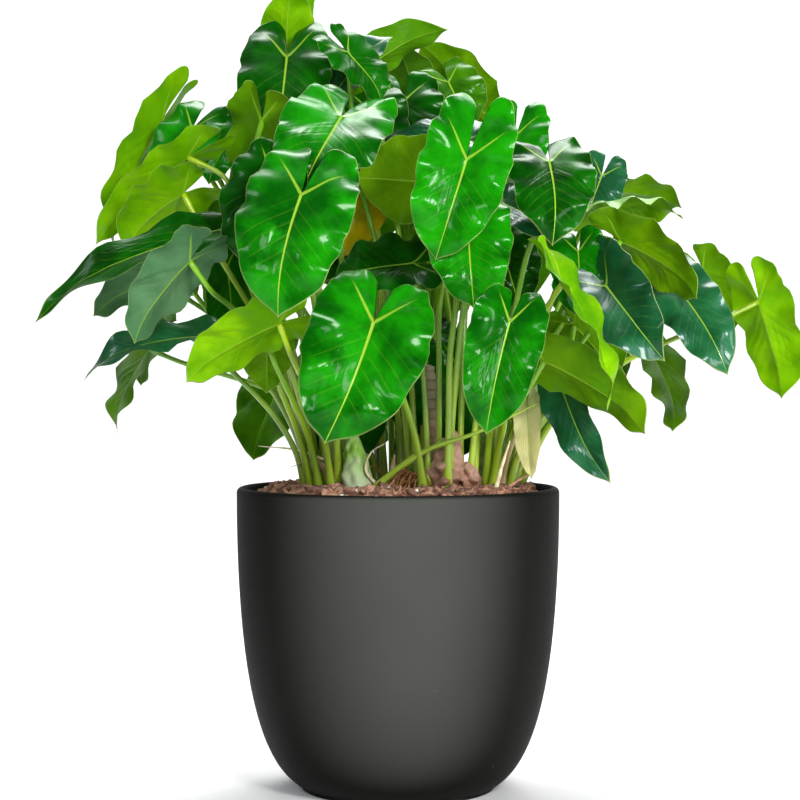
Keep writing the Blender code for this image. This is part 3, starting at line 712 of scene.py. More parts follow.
TONES = {
    "glossy": dict(deep=(0.001, 0.085, 0.001), fresh=(0.008, 0.310, 0.001), rough=0.32, coat=0.24),
    # dark: a deeper green, partly the leaves' own colour and partly painted shade for leaves deep
    # in the bush
    "dark": dict(deep=(0.001, 0.032, 0.001), fresh=(0.003, 0.130, 0.001), rough=0.34, coat=0.16),
    # slate: a darker green with a painted blue-grey reflection in its colour, on top of the real
    # blue specular tint and coat
    "slate": dict(deep=(0.004, 0.065, 0.020), fresh=(0.014, 0.150, 0.044), rough=0.38, coat=0.40,
                  sheen=BLUE_SHEEN),
    "lime": dict(deep=(0.075, 0.290, 0.001), fresh=(0.280, 0.580, 0.001), rough=0.38, coat=0.18),
    "olive": dict(deep=(0.010, 0.090, 0.001), fresh=(0.062, 0.240, 0.001), rough=0.36, coat=0.20),
    "mustard": dict(deep=(0.480, 0.360, 0.002), fresh=(0.760, 0.560, 0.004), rough=0.45, coat=0.1),
    "faded": dict(deep=(0.600, 0.540, 0.200), fresh=(0.800, 0.760, 0.360), rough=0.60, coat=0.0,
                  sheen=(1.0, 1.0, 0.8)),
}
BACKS = {
    "glossy": ((0.050, 0.190, 0.002), (0.110, 0.310, 0.003)),
    # dark backs: partly painted shade, as for the dark upper side
    "dark": ((0.030, 0.110, 0.005), (0.065, 0.190, 0.006)),
    # slate backs: the blue-grey is a painted reflection
    "slate": ((0.050, 0.150, 0.060), (0.120, 0.260, 0.120)),
    "lime": ((0.120, 0.360, 0.001), (0.270, 0.560, 0.002)),
    "olive": ((0.070, 0.220, 0.001), (0.160, 0.350, 0.002)),
    "mustard": ((0.350, 0.330, 0.005), (0.580, 0.420, 0.010)),
    "faded": ((0.600, 0.560, 0.300), (0.780, 0.740, 0.420)),
}
upper_looks = {
    tone: leaf_finish(f"leaf {tone} upper", rib=RIB, through=0.18, **look)
    for tone, look in TONES.items()
}
under_looks = {
    tone: leaf_finish(f"leaf {tone} under", deep, fresh, RIB, 0.46, 0.05, 0.30, 0.8)
    for tone, (deep, fresh) in BACKS.items()
}


def stalk_finish(name, base, top):
    """Smooth juicy stalk, paler and browner at the foot, with fine lengthwise streaks."""
    f = Finish(name)
    up = f.value("along")
    streak = f.noise(260.0, 2.0)
    patch = f.noise(30.0, 3.0)
    broad = f.noise(14.0, 1.0)
    colour = f.blend((up + patch * 0.25 - 0.12).ramp(0.0, 0.75), base, top)
    colour = f.blend(streak.ramp(0.45, 0.75) * 0.30, colour, (0.260, 0.450, 0.020))
    colour = f.blend(broad.ramp(0.40, 0.62) * 0.45, colour, (0.020, 0.110, 0.003))
    colour = f.blend(patch.ramp(0.62, 0.75) * up.ramp(0.0, 0.25, 0.6, 0.0), colour,
                     (0.300, 0.150, 0.050))
    f.set("Coat Weight", 0.35)
    f.set("Coat Roughness", 0.15)
    return f.surface(colour, streak.ramp(0.3, 0.7, 0.28, 0.42), streak, 0.0004, 0.5)


stalk_looks = {
    "green": stalk_finish("stalk green", (0.360, 0.500, 0.030), (0.170, 0.420, 0.003)),
    "yellow": stalk_finish("stalk yellow", (0.360, 0.500, 0.040), (0.400, 0.580, 0.006)),
    "dry": stalk_finish("stalk dry", (0.480, 0.300, 0.140), (0.700, 0.620, 0.330)),
}
print(len(upper_looks) + len(under_looks) + len(stalk_looks), "leaf and stalk finishes")

# %% [markdown]
# ## Growing the leaves
# A blade could be a flat sheet given thickness by a modifier, but a real one thins out to a sharp
# edge, so both of its sides are worked out directly: two skins half a millimetre apart at the
# hub that meet along the edge. The stalk is an oval carried along its settled route, with a
# slight swelling just under the blade and a broad sheath at its foot.

# %% Leaf surfaces
SHARES = np.array((0, 0.07, 0.15, 0.25, 0.36, 0.48, 0.60, 0.71, 0.81, 0.90, 0.96, 0.985, 1.0))
LOBE_STEPS, FLANK_STEPS = 18, 20
THICKNESS, HUB_THICKNESS = 0.00035, 0.0009  # half the blade's thickness, and more at its hub
HUB_RISE, HUB_DROP = 0.0010, 0.0012
PLEAT, GROOVE, GROOVE_WIDTH = 0.0005, 0.0007, 0.0022
CRIMP, SWAY = 0.020, 0.045  # shares of the blade's size
BULGE = 0.16  # share of the width
HOOK, SICKLE = 0.7, 0.09  # shares of the length
SHEATH, SWELLING = 0.55, 0.28  # how much wider a stalk is at its foot and under the blade
STALK_SIDES = 14


def fine_outline(leaf):
    """Both halves of the blade's edge, from one side of the notch round the tip to the other."""
    half = leaf.outline(LOBE_STEPS, FLANK_STEPS)
    half[:, 1] *= 1 - 0.45 * np.exp(-(((1 - half[:, 0] / leaf.length) / 0.05) ** 2))
    edge = np.vstack((half * (1, -1), half[-2::-1]))
    turn = np.arctan2(edge[:, 1], edge[:, 0])
    frill = 0.024 * np.sin(9 * turn + 3 * leaf.phase) + 0.014 * np.sin(17 * turn + 7 * leaf.phase)
    return edge * (1 + frill * np.minimum(1, abs(np.sin(turn / 2)) * 3))[:, None]


def fine_surface(leaf, flat, share):
    """The layout's bent blade, plus what its solid leaves out. The edge sways and is crimped, more
    and more from the middle outwards. Each half bulges, with soft pleats between the side veins.
    The midrib is sunken, the tip hooks back and the whole blade bends a little sideways."""
    along, across = flat[:, 0] / leaf.length, flat[:, 1] / (leaf.width / 2)
    turn = np.arctan2(flat[:, 1], flat[:, 0])
    size = math.sqrt(leaf.length * leaf.width)
    off_rib = np.minimum(1, 3 * abs(across))
    slant = along - VEIN_SLANT * abs(across)
    pleat = np.cos(math.tau * VEINS * slant) * np.clip((slant + 0.05) / 0.15, 0, 1) * (1 - share**3)
    crimp = np.sin(9 * turn + 2 * leaf.phase) + 0.6 * np.sin(17 * turn + 5 * leaf.phase)
    sway = np.sin(17 * along + 1.3 * np.sign(across) + 4 * leaf.phase)
    groove = np.exp(-((flat[:, 1] / GROOVE_WIDTH) ** 2)) * (along > 0)
    lift = PLEAT * pleat * off_rib - GROOVE * groove
    lift += size * share**2 * (CRIMP * share * crimp + SWAY * off_rib * sway)
    lift += BULGE * leaf.width * share * (1 - share) * np.minimum(1, 2.5 * abs(across))
    lift -= HOOK * leaf.length * np.clip(along - 0.6, 0, None) ** 2
    sickle = SICKLE * leaf.length * math.sin(5 * leaf.phase) * np.clip(along, 0, None) ** 2.5
    sideways = np.outer(sickle, leaf.across)
    return leaf.surface(flat, share) + sideways + lift[:, None] * leaf.normal


def grow_blade(leaf):
    """Points, faces, UV pairs, edge shares and side marks of the two skins of a blade.

    The skins lie half a thickness above and below the middle surface and share its seam, which
    is the edge and the two sides of the notch. Both are split into the same triangles, so the
    thin blade never shows its other side. A fan round a hub point closes each skin's middle."""
    edge = fine_outline(leaf)
    reach = np.linalg.norm(edge, axis=1)[:, None]
    start = 0.35 * HUB
    flat = (edge / reach)[None] * (start + (reach - start)[None] * SHARES[:, None, None])
    rows, columns = len(SHARES), len(edge)
    flat = flat.reshape(-1, 2)
    share = np.repeat(SHARES, columns)
    middle = fine_surface(leaf, flat, share)
    column = np.tile(np.arange(columns), rows)
    seam = (share == 1.0) | (column == 0) | (column == columns - 1)
    free = ~seam
    thick = THICKNESS * (1 - share**4) + HUB_THICKNESS * np.exp(-((share / 0.06) ** 2))
    top = middle + np.outer(thick * free, leaf.normal)
    under = middle[free] - np.outer(thick[free], leaf.normal)
    index = np.arange(rows * columns)
    index[free] = rows * columns + np.arange(free.sum())
    quads = grid_faces(rows, columns)
    upper = np.vstack((quads[:, :3], quads[:, [0, 2, 3]]))
    crown = len(top) + len(under)
    hub = np.arange(columns)
    ahead = (hub + 1) % columns
    cap = np.column_stack((np.full(columns, crown), ahead, hub))
    cap_under = np.column_stack((np.full(columns, crown + 1), index[hub], index[ahead]))
    faces = np.vstack((upper[:, ::-1], cap[:, ::-1], index[upper], cap_under[:, ::-1])).tolist()
    sides = np.repeat((0, 1), len(upper) + columns).tolist()
    points = np.vstack((top, under, leaf.end + HUB_RISE * leaf.normal,
                        leaf.end - HUB_DROP * leaf.normal))
    uv = flat / (leaf.length, leaf.width / 2)
    uv = np.vstack((uv, uv[free], (0, 0), (0, 0)))
    return points, faces, uv, np.concatenate((share, share[free], (0, 0))), sides


def grow_stalk(leaf):
    """Points, faces and heights of a stalk: an oval carried along the settled route, which widens
    into a sheath at its foot and swells just under the blade."""
    route = smooth_path(leaf.route, 46)
    up = np.linspace(0, 1, len(route))
    radius = STALK_RADIUS * (1.08 - 0.26 * up + SHEATH * np.exp(-((up / 0.07) ** 2)))
    radius *= 1 + SWELLING * np.exp(-(((up - 0.965) / 0.025) ** 2))
    route[-1] = leaf.end - 0.2 * STALK_RADIUS * leaf.into
    points, faces = tube(route, radius, radius * 0.92, leaf.across, STALK_SIDES)
    return points, faces, np.concatenate((np.repeat(up, STALK_SIDES), (0, 1)))


def grow_leaf(leaf, stands_for):
    """Make one leaf from its blade and stalk, stand it for its solid, and count its faces."""
    blade, blade_faces, uv, out, sides = grow_blade(leaf)
    stalk, stalk_faces, height = grow_stalk(leaf)
    faces = blade_faces + [[k + len(blade) for k in face] for face in stalk_faces]
    which = sides + [2] * len(stalk_faces)
    tone = leaf.tone
    stalk_look = {"lime": "yellow", "faded": "dry", "mustard": "yellow"}.get(tone, "green")
    put(
        f"{leaf.name}_leaf",
        np.vstack((blade, stalk)),
        faces,
        (upper_looks[tone], under_looks[tone], stalk_looks[stalk_look]),
        stands_for,
        np.vstack((uv, np.zeros((len(stalk), 2)))),
        {"edge": np.concatenate((out, np.zeros(len(stalk)))),
         "along": np.concatenate((np.ones(len(blade)), height))},
        which,
    )
    return len(faces)


total = sum(grow_leaf(leaf, [f"leaf_{leaf.name}"]) for leaf in plant)
total += sum(grow_leaf(leaf, []) for leaf in extra)
print(len(plant) + len(extra), "leaves,", total, "faces")

# %% [markdown]
# ## The cover pot
# The pot is thrown or cast round. It could be boxed up and smoothed, but turning one outline about
# the axis is how a potter gets it, and gives a clean round rim: a low foot, an egg-shaped belly
# that is a single curve, a rounded rim and the inside wall. Its glaze is a satin anthracite, almost
# black, with a hint of olive.

# %% Pot
def belly(count):
    """The pot's outer side from the foot to where the rim starts to round over."""
    foot = np.array((FOOT_RADIUS + 0.01 * RIM_RADIUS, FOOT_HEIGHT))
    rim = np.array((RIM_RADIUS, POT_HEIGHT - RIM_ROUND))
    lean = np.array((math.cos(math.radians(30)), math.sin(math.radians(30))))
    drop = np.array((0, 0.75 * POT_HEIGHT))
    return bezier((foot, foot + 0.2 * RIM_RADIUS * lean, rim - drop, rim), count)


def pot_outline():
    """(radius, height) points from the middle of the underside, up the outer side, over the
    rounded rim, one soft point inside it, and down the wall to the middle of the floor."""
    bend = np.radians(np.linspace(-90, 0, 6))
    small = 0.55 * FOOT_HEIGHT
    foot = np.column_stack((FOOT_RADIUS - small + small * np.cos(bend),
                            small + small * np.sin(bend)))
    turn = np.radians(np.linspace(10, 90, 9))
    rim = np.column_stack((RIM_RADIUS - RIM_ROUND * (1 - np.cos(turn)),
                           POT_HEIGHT - RIM_ROUND * (1 - np.sin(turn))))
    soft = 0.25 * RIM_ROUND
    over = math.radians(67.5)
    lip = (RIM_RADIUS - WALL + soft * math.sin(over), POT_HEIGHT - soft * (1 - math.sin(over)))
    side = belly(200)
    heights = np.linspace(POT_HEIGHT - 2 * soft, FLOOR, 24)
    inner = np.column_stack((np.interp(heights, side[:, 1], side[:, 0]) - WALL, heights))
    return np.vstack(((0, 0), (0.5 * FOOT_RADIUS, 0), foot, (FOOT_RADIUS, FOOT_HEIGHT), belly(64),
                      rim, lip, inner, (0, FLOOR)))


def glaze():
    """Satin anthracite: a fine orange-peel skin and specks of dust. Where it is seen along its
    surface its colour is painted nearly black, painted shade that darkens the pot towards its
    edges."""
    f = Finish("anthracite glaze")
    broad = f.noise(7.0, 3.0)
    skin = f.noise(420.0, 3.0, 0.6)
    specks = f.node("ShaderNodeTexVoronoi", {"feature": "F1"}, {"Vector": f.place(), "Scale": 55.0})
    dust = specks.ramp(0.018, 0.035, 1.0, 0.0) * f.noise(12.0, 1.0).ramp(0.56, 0.60)
    colour = f.blend(broad.ramp(0.3, 0.7), (0.060, 0.061, 0.054), (0.068, 0.069, 0.062))
    facing = f.node("ShaderNodeLayerWeight", None, {"Blend": 0.5}, "Facing")
    # Painted shade: the colour goes nearly black where the surface is seen edge-on, so the pot
    # darkens towards its outline.
    colour = f.blend(facing.ramp(-0.12, 0.46), colour, (0.006, 0.006, 0.005))
    colour = f.blend(dust * 0.5, colour, (0.200, 0.195, 0.180))
    f.set("Specular IOR Level", 0.40)
    f.set("IOR", 1.18)
    rough = (broad * 0.5 + skin * 0.5).ramp(0.3, 0.7, 0.58, 0.70)
    return f.surface(colour, rough, skin + broad * 2.0, 0.0003, 0.30)


points, faces = lathe(pot_outline(), 192)
put("cover_pot", points, faces, (glaze(),), ["pot"])
print("pot outline", len(pot_outline()), "points,", len(faces), "faces")

# %% [markdown]
# ## The nursery pot
# The plant stands in the thin plastic pot it was grown in. Only its lip shows, as a blue-grey line
# inside the rim, so it is a plain turned outline with a rolled lip and a scuffed plastic finish.

# %% Nursery pot
def grow_side(z):
    """Outer radius of the nursery pot at a height."""
    return GROW_RADIUS * (0.66 + 0.34 * (z - FLOOR) / (GROW_TOP - FLOOR))


def plastic():
    f = Finish("nursery plastic")
    scuff = f.noise(60.0, 4.0, 0.65)
    colour = f.blend(scuff.ramp(0.35, 0.7), (0.050, 0.062, 0.085), (0.110, 0.130, 0.170))
    return f.surface(colour, scuff.ramp(0.3, 0.7, 0.34, 0.55), scuff, 0.0003, 0.4)


lip, low = 0.0018, FLOOR + GAP
inside = low + GROW_WALL
roll = np.radians(np.linspace(0, 180, 7))
middle_lip = GROW_RADIUS + 0.5 * (lip - GROW_WALL)
half_lip = 0.5 * (lip + GROW_WALL)
rolled = np.column_stack((middle_lip + half_lip * np.cos(roll),
                          GROW_TOP - half_lip + half_lip * np.sin(roll)))
outline = np.vstack((
    (0, low), (grow_side(low), low), (grow_side(GROW_TOP - 0.012), GROW_TOP - 0.012),
    (GROW_RADIUS + lip, GROW_TOP - 0.010), rolled, (grow_side(inside) - GROW_WALL, inside),
    (0, inside),
))
points, faces = lathe(outline, 128)
put("nursery_pot", points, faces, (plastic(),), ["grow_pot"])
print("nursery pot", round(200 * grow_side(GROW_TOP), 1), "cm across,", len(faces), "faces")

# %% [markdown]
# ## The bark mix
# The soil is a coarse mix of reddish bark, coco chips and a little perlite. A bump alone
# looks painted, so the mound is one rippled surface and the chips on it are real: one small
# pebble-like shape, squeezed, turned and scattered many times in one array.

# %% Soil
def soil_height(x, y):
    """Level in the middle, sloping to the nursery pot's wall, with small ups and downs."""
    out = np.hypot(x, y)
    level = np.interp(out, (0, PLATEAU, 0.5 * (PLATEAU + SOIL_RADIUS), SOIL_RADIUS),
                      (SOIL_TOP, SOIL_TOP, 0.35 * SOIL_EDGE + 0.65 * SOIL_TOP, SOIL_EDGE))
    return level + 0.0016 * ripple(x, y, 0.035, 3) + 0.0008 * ripple(x, y, 0.011, 4)


def soil_finish():
    f = Finish("bark mix")
    grain = f.noise(150.0, 5.0, 0.7)
    lump = f.noise(45.0, 3.0)
    colour = f.blend(grain.ramp(0.3, 0.7), (0.060, 0.024, 0.015), (0.240, 0.110, 0.070))
    colour = f.blend(lump.ramp(0.55, 0.75), colour, (0.300, 0.160, 0.100))
    return f.surface(colour, grain.ramp(0.3, 0.7, 0.80, 0.98), grain + lump, 0.0020, 0.9)


def mound():
    """Rings whose radius grows as a square root, so that their spacing tightens outwards, and a
    flat underside just above the nursery pot's floor."""
    rings, sides = 60, 180
    out = SOIL_RADIUS * np.sqrt(np.linspace(0.0004, 1, rings))
    turn = np.linspace(0, math.tau, sides, endpoint=False)
    x, y = np.outer(out, np.cos(turn)), np.outer(out, np.sin(turn))
    top = np.stack((x, y, soil_height(x, y)), axis=-1)
    low = FLOOR + 2 * GAP + GROW_WALL
    foot = grow_side(low) - GROW_WALL - 1.6 * GAP
    base = np.stack((foot * np.cos(turn), foot * np.sin(turn), np.full(sides, low)), axis=-1)
    points = np.vstack((top.reshape(-1, 3), base, (0, 0, SOIL_TOP), (0, 0, low)))
    return points, [face[::-1] for face in closed_faces(rings + 1, sides)]


points, faces = mound()
put("bark_mound", points, faces, (soil_finish(),), ["soil"])
print("mound of", len(faces), "faces")


# %% Chips
def chip_finish(name, dark, light, rough):
    f = Finish(name)
    tint = f.value("tint")
    grain = f.noise(320.0, 4.0, 0.65)
    colour = f.blend((tint * 0.7 + grain * 0.6 - 0.15).ramp(0.0, 1.0), dark, light)
    return f.surface(colour, grain.ramp(0.3, 0.7, rough - 0.1, rough + 0.08), grain, 0.0006, 0.7)


def scatter(name, count, size, squeeze, look, seed):
    """Scatter pebble shapes on the soil: each is a ball of rings with squared-off sides,
    its corners nudged at random, squeezed to (long, wide, thick) and turned."""
    rng = np.random.default_rng(seed)
    rings, sides = 4, 6
    tilt = np.linspace(0, math.pi, rings + 2)[1:-1]
    turn = np.linspace(0, math.tau, sides, endpoint=False)

    def square(wave):
        return np.sign(wave) * abs(wave) ** 0.6

    body = np.stack((
        np.outer(square(np.sin(tilt)), square(np.cos(turn))),
        np.outer(square(np.sin(tilt)), square(np.sin(turn))),
        np.outer(square(np.cos(tilt)), np.ones(sides)),
    ), axis=-1).reshape(-1, 3)
    lump = np.vstack((body, (0, 0, 1), (0, 0, -1)))
    shapes = lump[None] * (1 + rng.uniform(-0.22, 0.22, (count, len(lump), 1)))
    scale = size * rng.uniform(0.45, 1.25, (count, 1, 1)) * np.array(squeeze)
    shapes = shapes * scale * rng.uniform(0.7, 1.3, (count, 1, 3))
    yaw, nod, roll_by = rng.uniform(0, math.tau, count), *rng.normal(0, 0.45, (2, count))
    cy, sy, cn, sn, cr, sr = [w(a) for a in (yaw, nod, roll_by) for w in (np.cos, np.sin)]
    turn_by = np.stack((  # turned about z, then y, then x
        np.stack((cy * cn, cy * sn * sr - sy * cr, cy * sn * cr + sy * sr), -1),
        np.stack((sy * cn, sy * sn * sr + cy * cr, sy * sn * cr - cy * sr), -1),
        np.stack((-sn, cn * sr, cn * cr), -1),
    ), -2)
    shapes = np.einsum("cij,cvj->cvi", turn_by, shapes)
    out = 0.97 * SOIL_RADIUS * np.sqrt(rng.uniform(0, 1, count))
    way = rng.uniform(0, math.tau, count)
    x, y = out * np.cos(way), out * np.sin(way)
    rest = soil_height(x, y) + 0.45 * size * np.array(squeeze)[2]
    shapes += np.stack((x, y, rest), -1)[:, None]
    faces = [face[::-1] for face in closed_faces(rings, sides)]
    every = [[k + chip * len(lump) for k in face] for chip in range(count) for face in faces]
    tint = np.repeat(rng.uniform(0, 1, count), len(lump))
    put(name, shapes.reshape(-1, 3), every, (look,), values={"tint": tint})


bark = chip_finish("bark chips", (0.100, 0.040, 0.026), (0.460, 0.240, 0.160), 0.85)
fibre = chip_finish("coco fibre", (0.160, 0.055, 0.026), (0.520, 0.250, 0.130), 0.9)
perlite = chip_finish("perlite", (0.560, 0.540, 0.500), (0.860, 0.850, 0.820), 0.92)
scatter("bark_chips", 1500, 0.0050, (1.0, 0.62, 0.30), bark, 11)
scatter("coco_chips", 900, 0.0052, (1.0, 0.16, 0.13), fibre, 12)
scatter("perlite_grains", 170, 0.0019, (1.0, 0.9, 0.8), perlite, 13)
print("soil chips scattered")

# %% [markdown]
# ## Canes and what lies round their feet
# Old stems are short and thick, ringed with scars where leaves have dropped. The middle one
# stands on a knobby foot. Dry sheaths, a few dead stalks and thin aerial roots lie round them.
# A cane is a surface of two parameters, angle and height, whose radius carries rings, knobs and
# a rough skin.

# %% Canes
def cane_finish(name, low, high, scar):
    f = Finish(name)
    up = f.value("along")
    ring = f.value("scar")
    grain = f.noise(90.0, 5.0, 0.65)
    patch = f.noise(24.0, 3.0)
    colour = f.blend((up + patch * 0.6 - 0.3).ramp(0.1, 0.8), low, high)
    colour = f.blend(grain.ramp(0.45, 0.75) * 0.5, colour, scar)
    colour = f.blend(ring * 0.75, colour, scar)
    return f.surface(colour, grain.ramp(0.3, 0.7, 0.55, 0.85), grain + ring, 0.0012, 0.7)


def grow_cane(name, place, profile, rings, knob, look, lean, seed, stands_for=()):
    """A stem round a leaning axis: its radius comes from the profile, swells between the scar
    rings, and carries random knobs as a share of itself. Place is (x, y, height) in cm."""
    rows, sides = 90, 72
    x, y, height = place
    up = np.linspace(0, 1, rows)
    turn = np.linspace(0, math.tau, sides, endpoint=False)
    radius = np.interp(up, *np.array(profile).T)[:, None] * CM
    wave = (up * rings) % 1
    scar = np.exp(-(((wave - 0.5) / 0.09) ** 2))
    swell = 1 + 0.05 * np.cos(math.tau * wave)[:, None] - 0.05 * scar[:, None]
    about, above = np.broadcast_arrays(0.01 * turn[None], 0.04 * up[:, None])
    knobs = knob * ripple(about, above, 0.013, seed) * np.sin(turn / 2)[None] ** 0.5
    radius = radius * (swell + knobs + 0.03 * np.cos(turn)[None])
    axis = np.stack(((x + lean[0] * up**1.3) * CM, (y + lean[1] * up**1.3) * CM,
                     BASE_LEVEL - 0.001 + up * height * CM), -1)
    skin = np.stack((axis[:, None, 0] + radius * np.cos(turn), axis[:, None, 1]
                     + radius * np.sin(turn), np.repeat(axis[:, 2:], sides, 1)), -1)
    points = np.vstack((skin.reshape(-1, 3), axis[0], axis[-1] + (0, 0, 0.002)))
    marks = {"along": np.append(np.repeat(up, sides), (0, 1)),
             "scar": np.append(np.repeat(scar, sides), (0, 0))}
    faces = closed_faces(rows, sides)
    put(name, points, faces, (look,), stands_for, values=marks)


green_cane = cane_finish("cane green", (0.330, 0.380, 0.200), (0.240, 0.420, 0.070),
                         (0.520, 0.480, 0.320))
brown_cane = cane_finish("cane brown", (0.260, 0.130, 0.085), (0.300, 0.240, 0.160),
                         (0.100, 0.060, 0.040))
stem_green = cane_finish("stem green", (0.420, 0.500, 0.300), (0.200, 0.420, 0.030),
                         (0.620, 0.660, 0.560))
rosy_bark = cane_finish("rosy bark", (0.200, 0.085, 0.050), (0.420, 0.240, 0.170),
                        (0.090, 0.040, 0.026))
left_x, left_y, _, left_height = CANES["left"]
centre_x, centre_y = CANES["centre"][:2]
BOULDER = [(0, 0.9), (0.4, 1.15), (0.8, 0.9), (1, 0.4)]
grow_cane("left_cane", (left_x, left_y, left_height), [(0, 1.7), (0.25, 1.6), (0.8, 1.1), (1, 0.7)],
          5, 0.09, green_cane, (-0.6, 0), 5, ["cane_left"])
grow_cane("knobby_cane", (centre_x, centre_y, 4.2), [(0, 1.5), (0.3, 1.9), (0.7, 1.5), (1, 0.7)],
          3, 0.20, brown_cane, (0.3, 0), 8, ["cane_centre"])
grow_cane("ringed_cane", (centre_x - 0.2, centre_y + 0.2, 10.5), [(0, 0.8), (0.4, 0.62), (1, 0.5)],
          13, 0.05, brown_cane, (-0.8, 0.3), 9)
grow_cane("knob_front", (3.9, -5.3, 3.6), [(0, 1.0), (0.3, 1.35), (0.7, 1.15), (1, 0.5)],
          0.4, 0.42, rosy_bark, (0.2, 0), 14)
grow_cane("knob_right", (5.9, -4.9, 2.3), BOULDER, 0.4, 0.42, rosy_bark, (-0.1, 0), 15)
grow_cane("knob_top", (4.4, -4.9, 5.0), [(0, 0.9), (0.5, 0.85), (0.8, 0.75), (1, 0.3)],
          0.4, 0.42, rosy_bark, (0.3, 0), 17)
grow_cane("left_stem", (-3.4, -3.7, 4.6), [(0, 1.35), (0.25, 1.2), (0.65, 0.95), (1, 0.55)],
          0.4, 0.16, stem_green, (-0.5, 0), 16)
for cane, seed in (("right", 21), ("back", 22)):
    x, y, radius, height = CANES[cane]
    grow_cane(f"{cane}_cane", (x, y, height), [(0, 1.3 * radius), (0.3, radius), (1, 0.7 * radius)],
              5, 0.12, green_cane, (0.3, 0), seed, [f"cane_{cane}"])
print("nine stems and knobs")

# %% [markdown]
# ## Sheaths, dead stalks and roots
# Dry sheaths and roots are all the same kind of thing, an oval carried along a path, so one
# helper lays each on its own few points. Their finish is dry, matt and streaked.

# %% Sheaths, dead stalks and roots
def dry_finish(name, dark, light):
    f = Finish(name)
    streak = f.noise(180.0, 4.0, 0.6)
    colour = f.blend(streak.ramp(0.3, 0.7), dark, light)
    return f.surface(colour, streak.ramp(0.3, 0.7, 0.60, 0.80), streak, 0.0006, 0.7)


def dry_strip(name, points_cm, wide, thin, look, stands_for=()):
    """A dry strip through points given in centimetres, heights above the soil; it narrows
    towards its far end."""
    path = smooth_path(np.array(points_cm) * CM + (0, 0, BASE_LEVEL), 36)
    up = np.linspace(0, 1, len(path))
    taper = (1 - 0.75 * up**2) * (1 + 0.10 * np.sin(23 * up))
    side = np.array((0.3, 1.0, 0.2))
    points, faces = tube(path, wide * CM * taper, thin * CM * taper, side, 12)
    put(name, points, faces, (look,), stands_for)


cream = dry_finish("dry sheath cream", (0.560, 0.460, 0.250), (0.820, 0.760, 0.500))
rosy = dry_finish("dry sheath rosy", (0.380, 0.190, 0.120), (0.660, 0.380, 0.260))
straw = dry_finish("old stalk straw", (0.330, 0.240, 0.110), (0.560, 0.440, 0.220))
dry_strip("old_stub", [(-0.4, -3.4, 0), (-0.45, -3.4, 1.6), (-0.3, -3.45, 2.9)], 0.34, 0.32,
          straw, stands_for=["stub"])
dry_strip("dead_stalk_left", [(-6.0, -1.5, 2.2), (-8.5, -2.0, 3.2), (-12.0, -2.6, 3.6)], 0.16, 0.12,
          cream)
dry_strip("sheath_left", [(-5.8, -1.9, 0.1), (-7.0, -2.4, 2.4), (-9.2, -3.0, 1.8)], 0.42, 0.08,
          rosy)
dry_strip("sheath_low", [(-4.6, -2.3, 0.0), (-6.0, -3.2, 1.5), (-7.4, -3.6, 3.0)], 0.50, 0.07, rosy)
dry_strip("curled_shoot", [(-1.6, -4.6, 0.2), (-2.7, -4.8, 1.6), (-2.3, -4.9, 3.1),
                           (-1.1, -4.7, 3.9)], 0.26, 0.10, cream)
dry_strip("right_stub", [(8.2, -6.5, 0), (8.7, -6.6, 2.0), (9.4, -6.8, 4.2)], 0.26, 0.20, cream)
dry_strip("brown_stalk", [(9.4, -5.5, 0.3), (10.6, -5.9, 1.1), (11.6, -6.2, 1.6)], 0.18, 0.14, rosy)
dry_strip("runner", [(-2.2, -5.6, 0.0), (0.2, -6.4, 2.0), (2.8, -7.0, 3.6), (6.8, -7.6, 5.0),
                     (11.6, -8.4, 7.4)], 0.30, 0.28, stalk_looks["yellow"])
print("eight strips laid")


def roots(name, count, middle, spread_by, look, seed):
    """Thin roots that leave the cane's foot, arch a little and run out over the soil."""
    rng = np.random.default_rng(seed)
    all_points, all_faces, first = [], [], 0
    for _ in range(count):
        way, reach = rng.uniform(0, math.tau), rng.uniform(0.4, 1.0) * spread_by
        bow = rng.uniform(-0.9, 0.9)
        step = np.linspace(0.35, 1, 9)
        bearing = way + bow * step
        x = (middle[0] + reach * step * np.cos(bearing)) * CM
        y = (middle[1] + reach * step * np.sin(bearing)) * CM
        rise = rng.uniform(0.3, 1.8) * CM * np.sin(math.pi * np.linspace(0.15, 1, 9)) ** 1.5
        path = smooth_path(np.stack((x, y, soil_height(x, y) + 0.002 + rise), -1), 22)
        thick = rng.uniform(0.0004, 0.0009)
        points, faces = tube(path, thick, thick, np.array((0.2, 0.1, 1.0)), 6)
        all_points.append(points)
        all_faces += [[k + first for k in face] for face in faces]
        first += len(points)
    put(name, np.vstack(all_points), all_faces, (look,))


orange = dry_finish("root orange", (0.330, 0.120, 0.040), (0.620, 0.300, 0.120))
roots("roots_centre", 90, (centre_x - 1.2, centre_y), 4.2, orange, 31)
roots("roots_left", 30, (left_x, left_y), 3.8, orange, 32)
print("canes, sheaths and roots laid")

# %% [markdown]
# ## Floor, light and camera
# The plant stands on a plain pale sweep that curves up behind it, so there is no horizon. Soft
# lights in front and a tall strip to the right draw the broad highlight on the pot and the gloss
# on the leaves. Weaker ones from the left, above and behind keep the shade open. The camera stands
# about two metres away, a little above the rim, with a long lens, so that the rim stays nearly
# flat.

# %% Floor
FRONT, BACK = -1.7, 2.4  # where the level part starts and ends


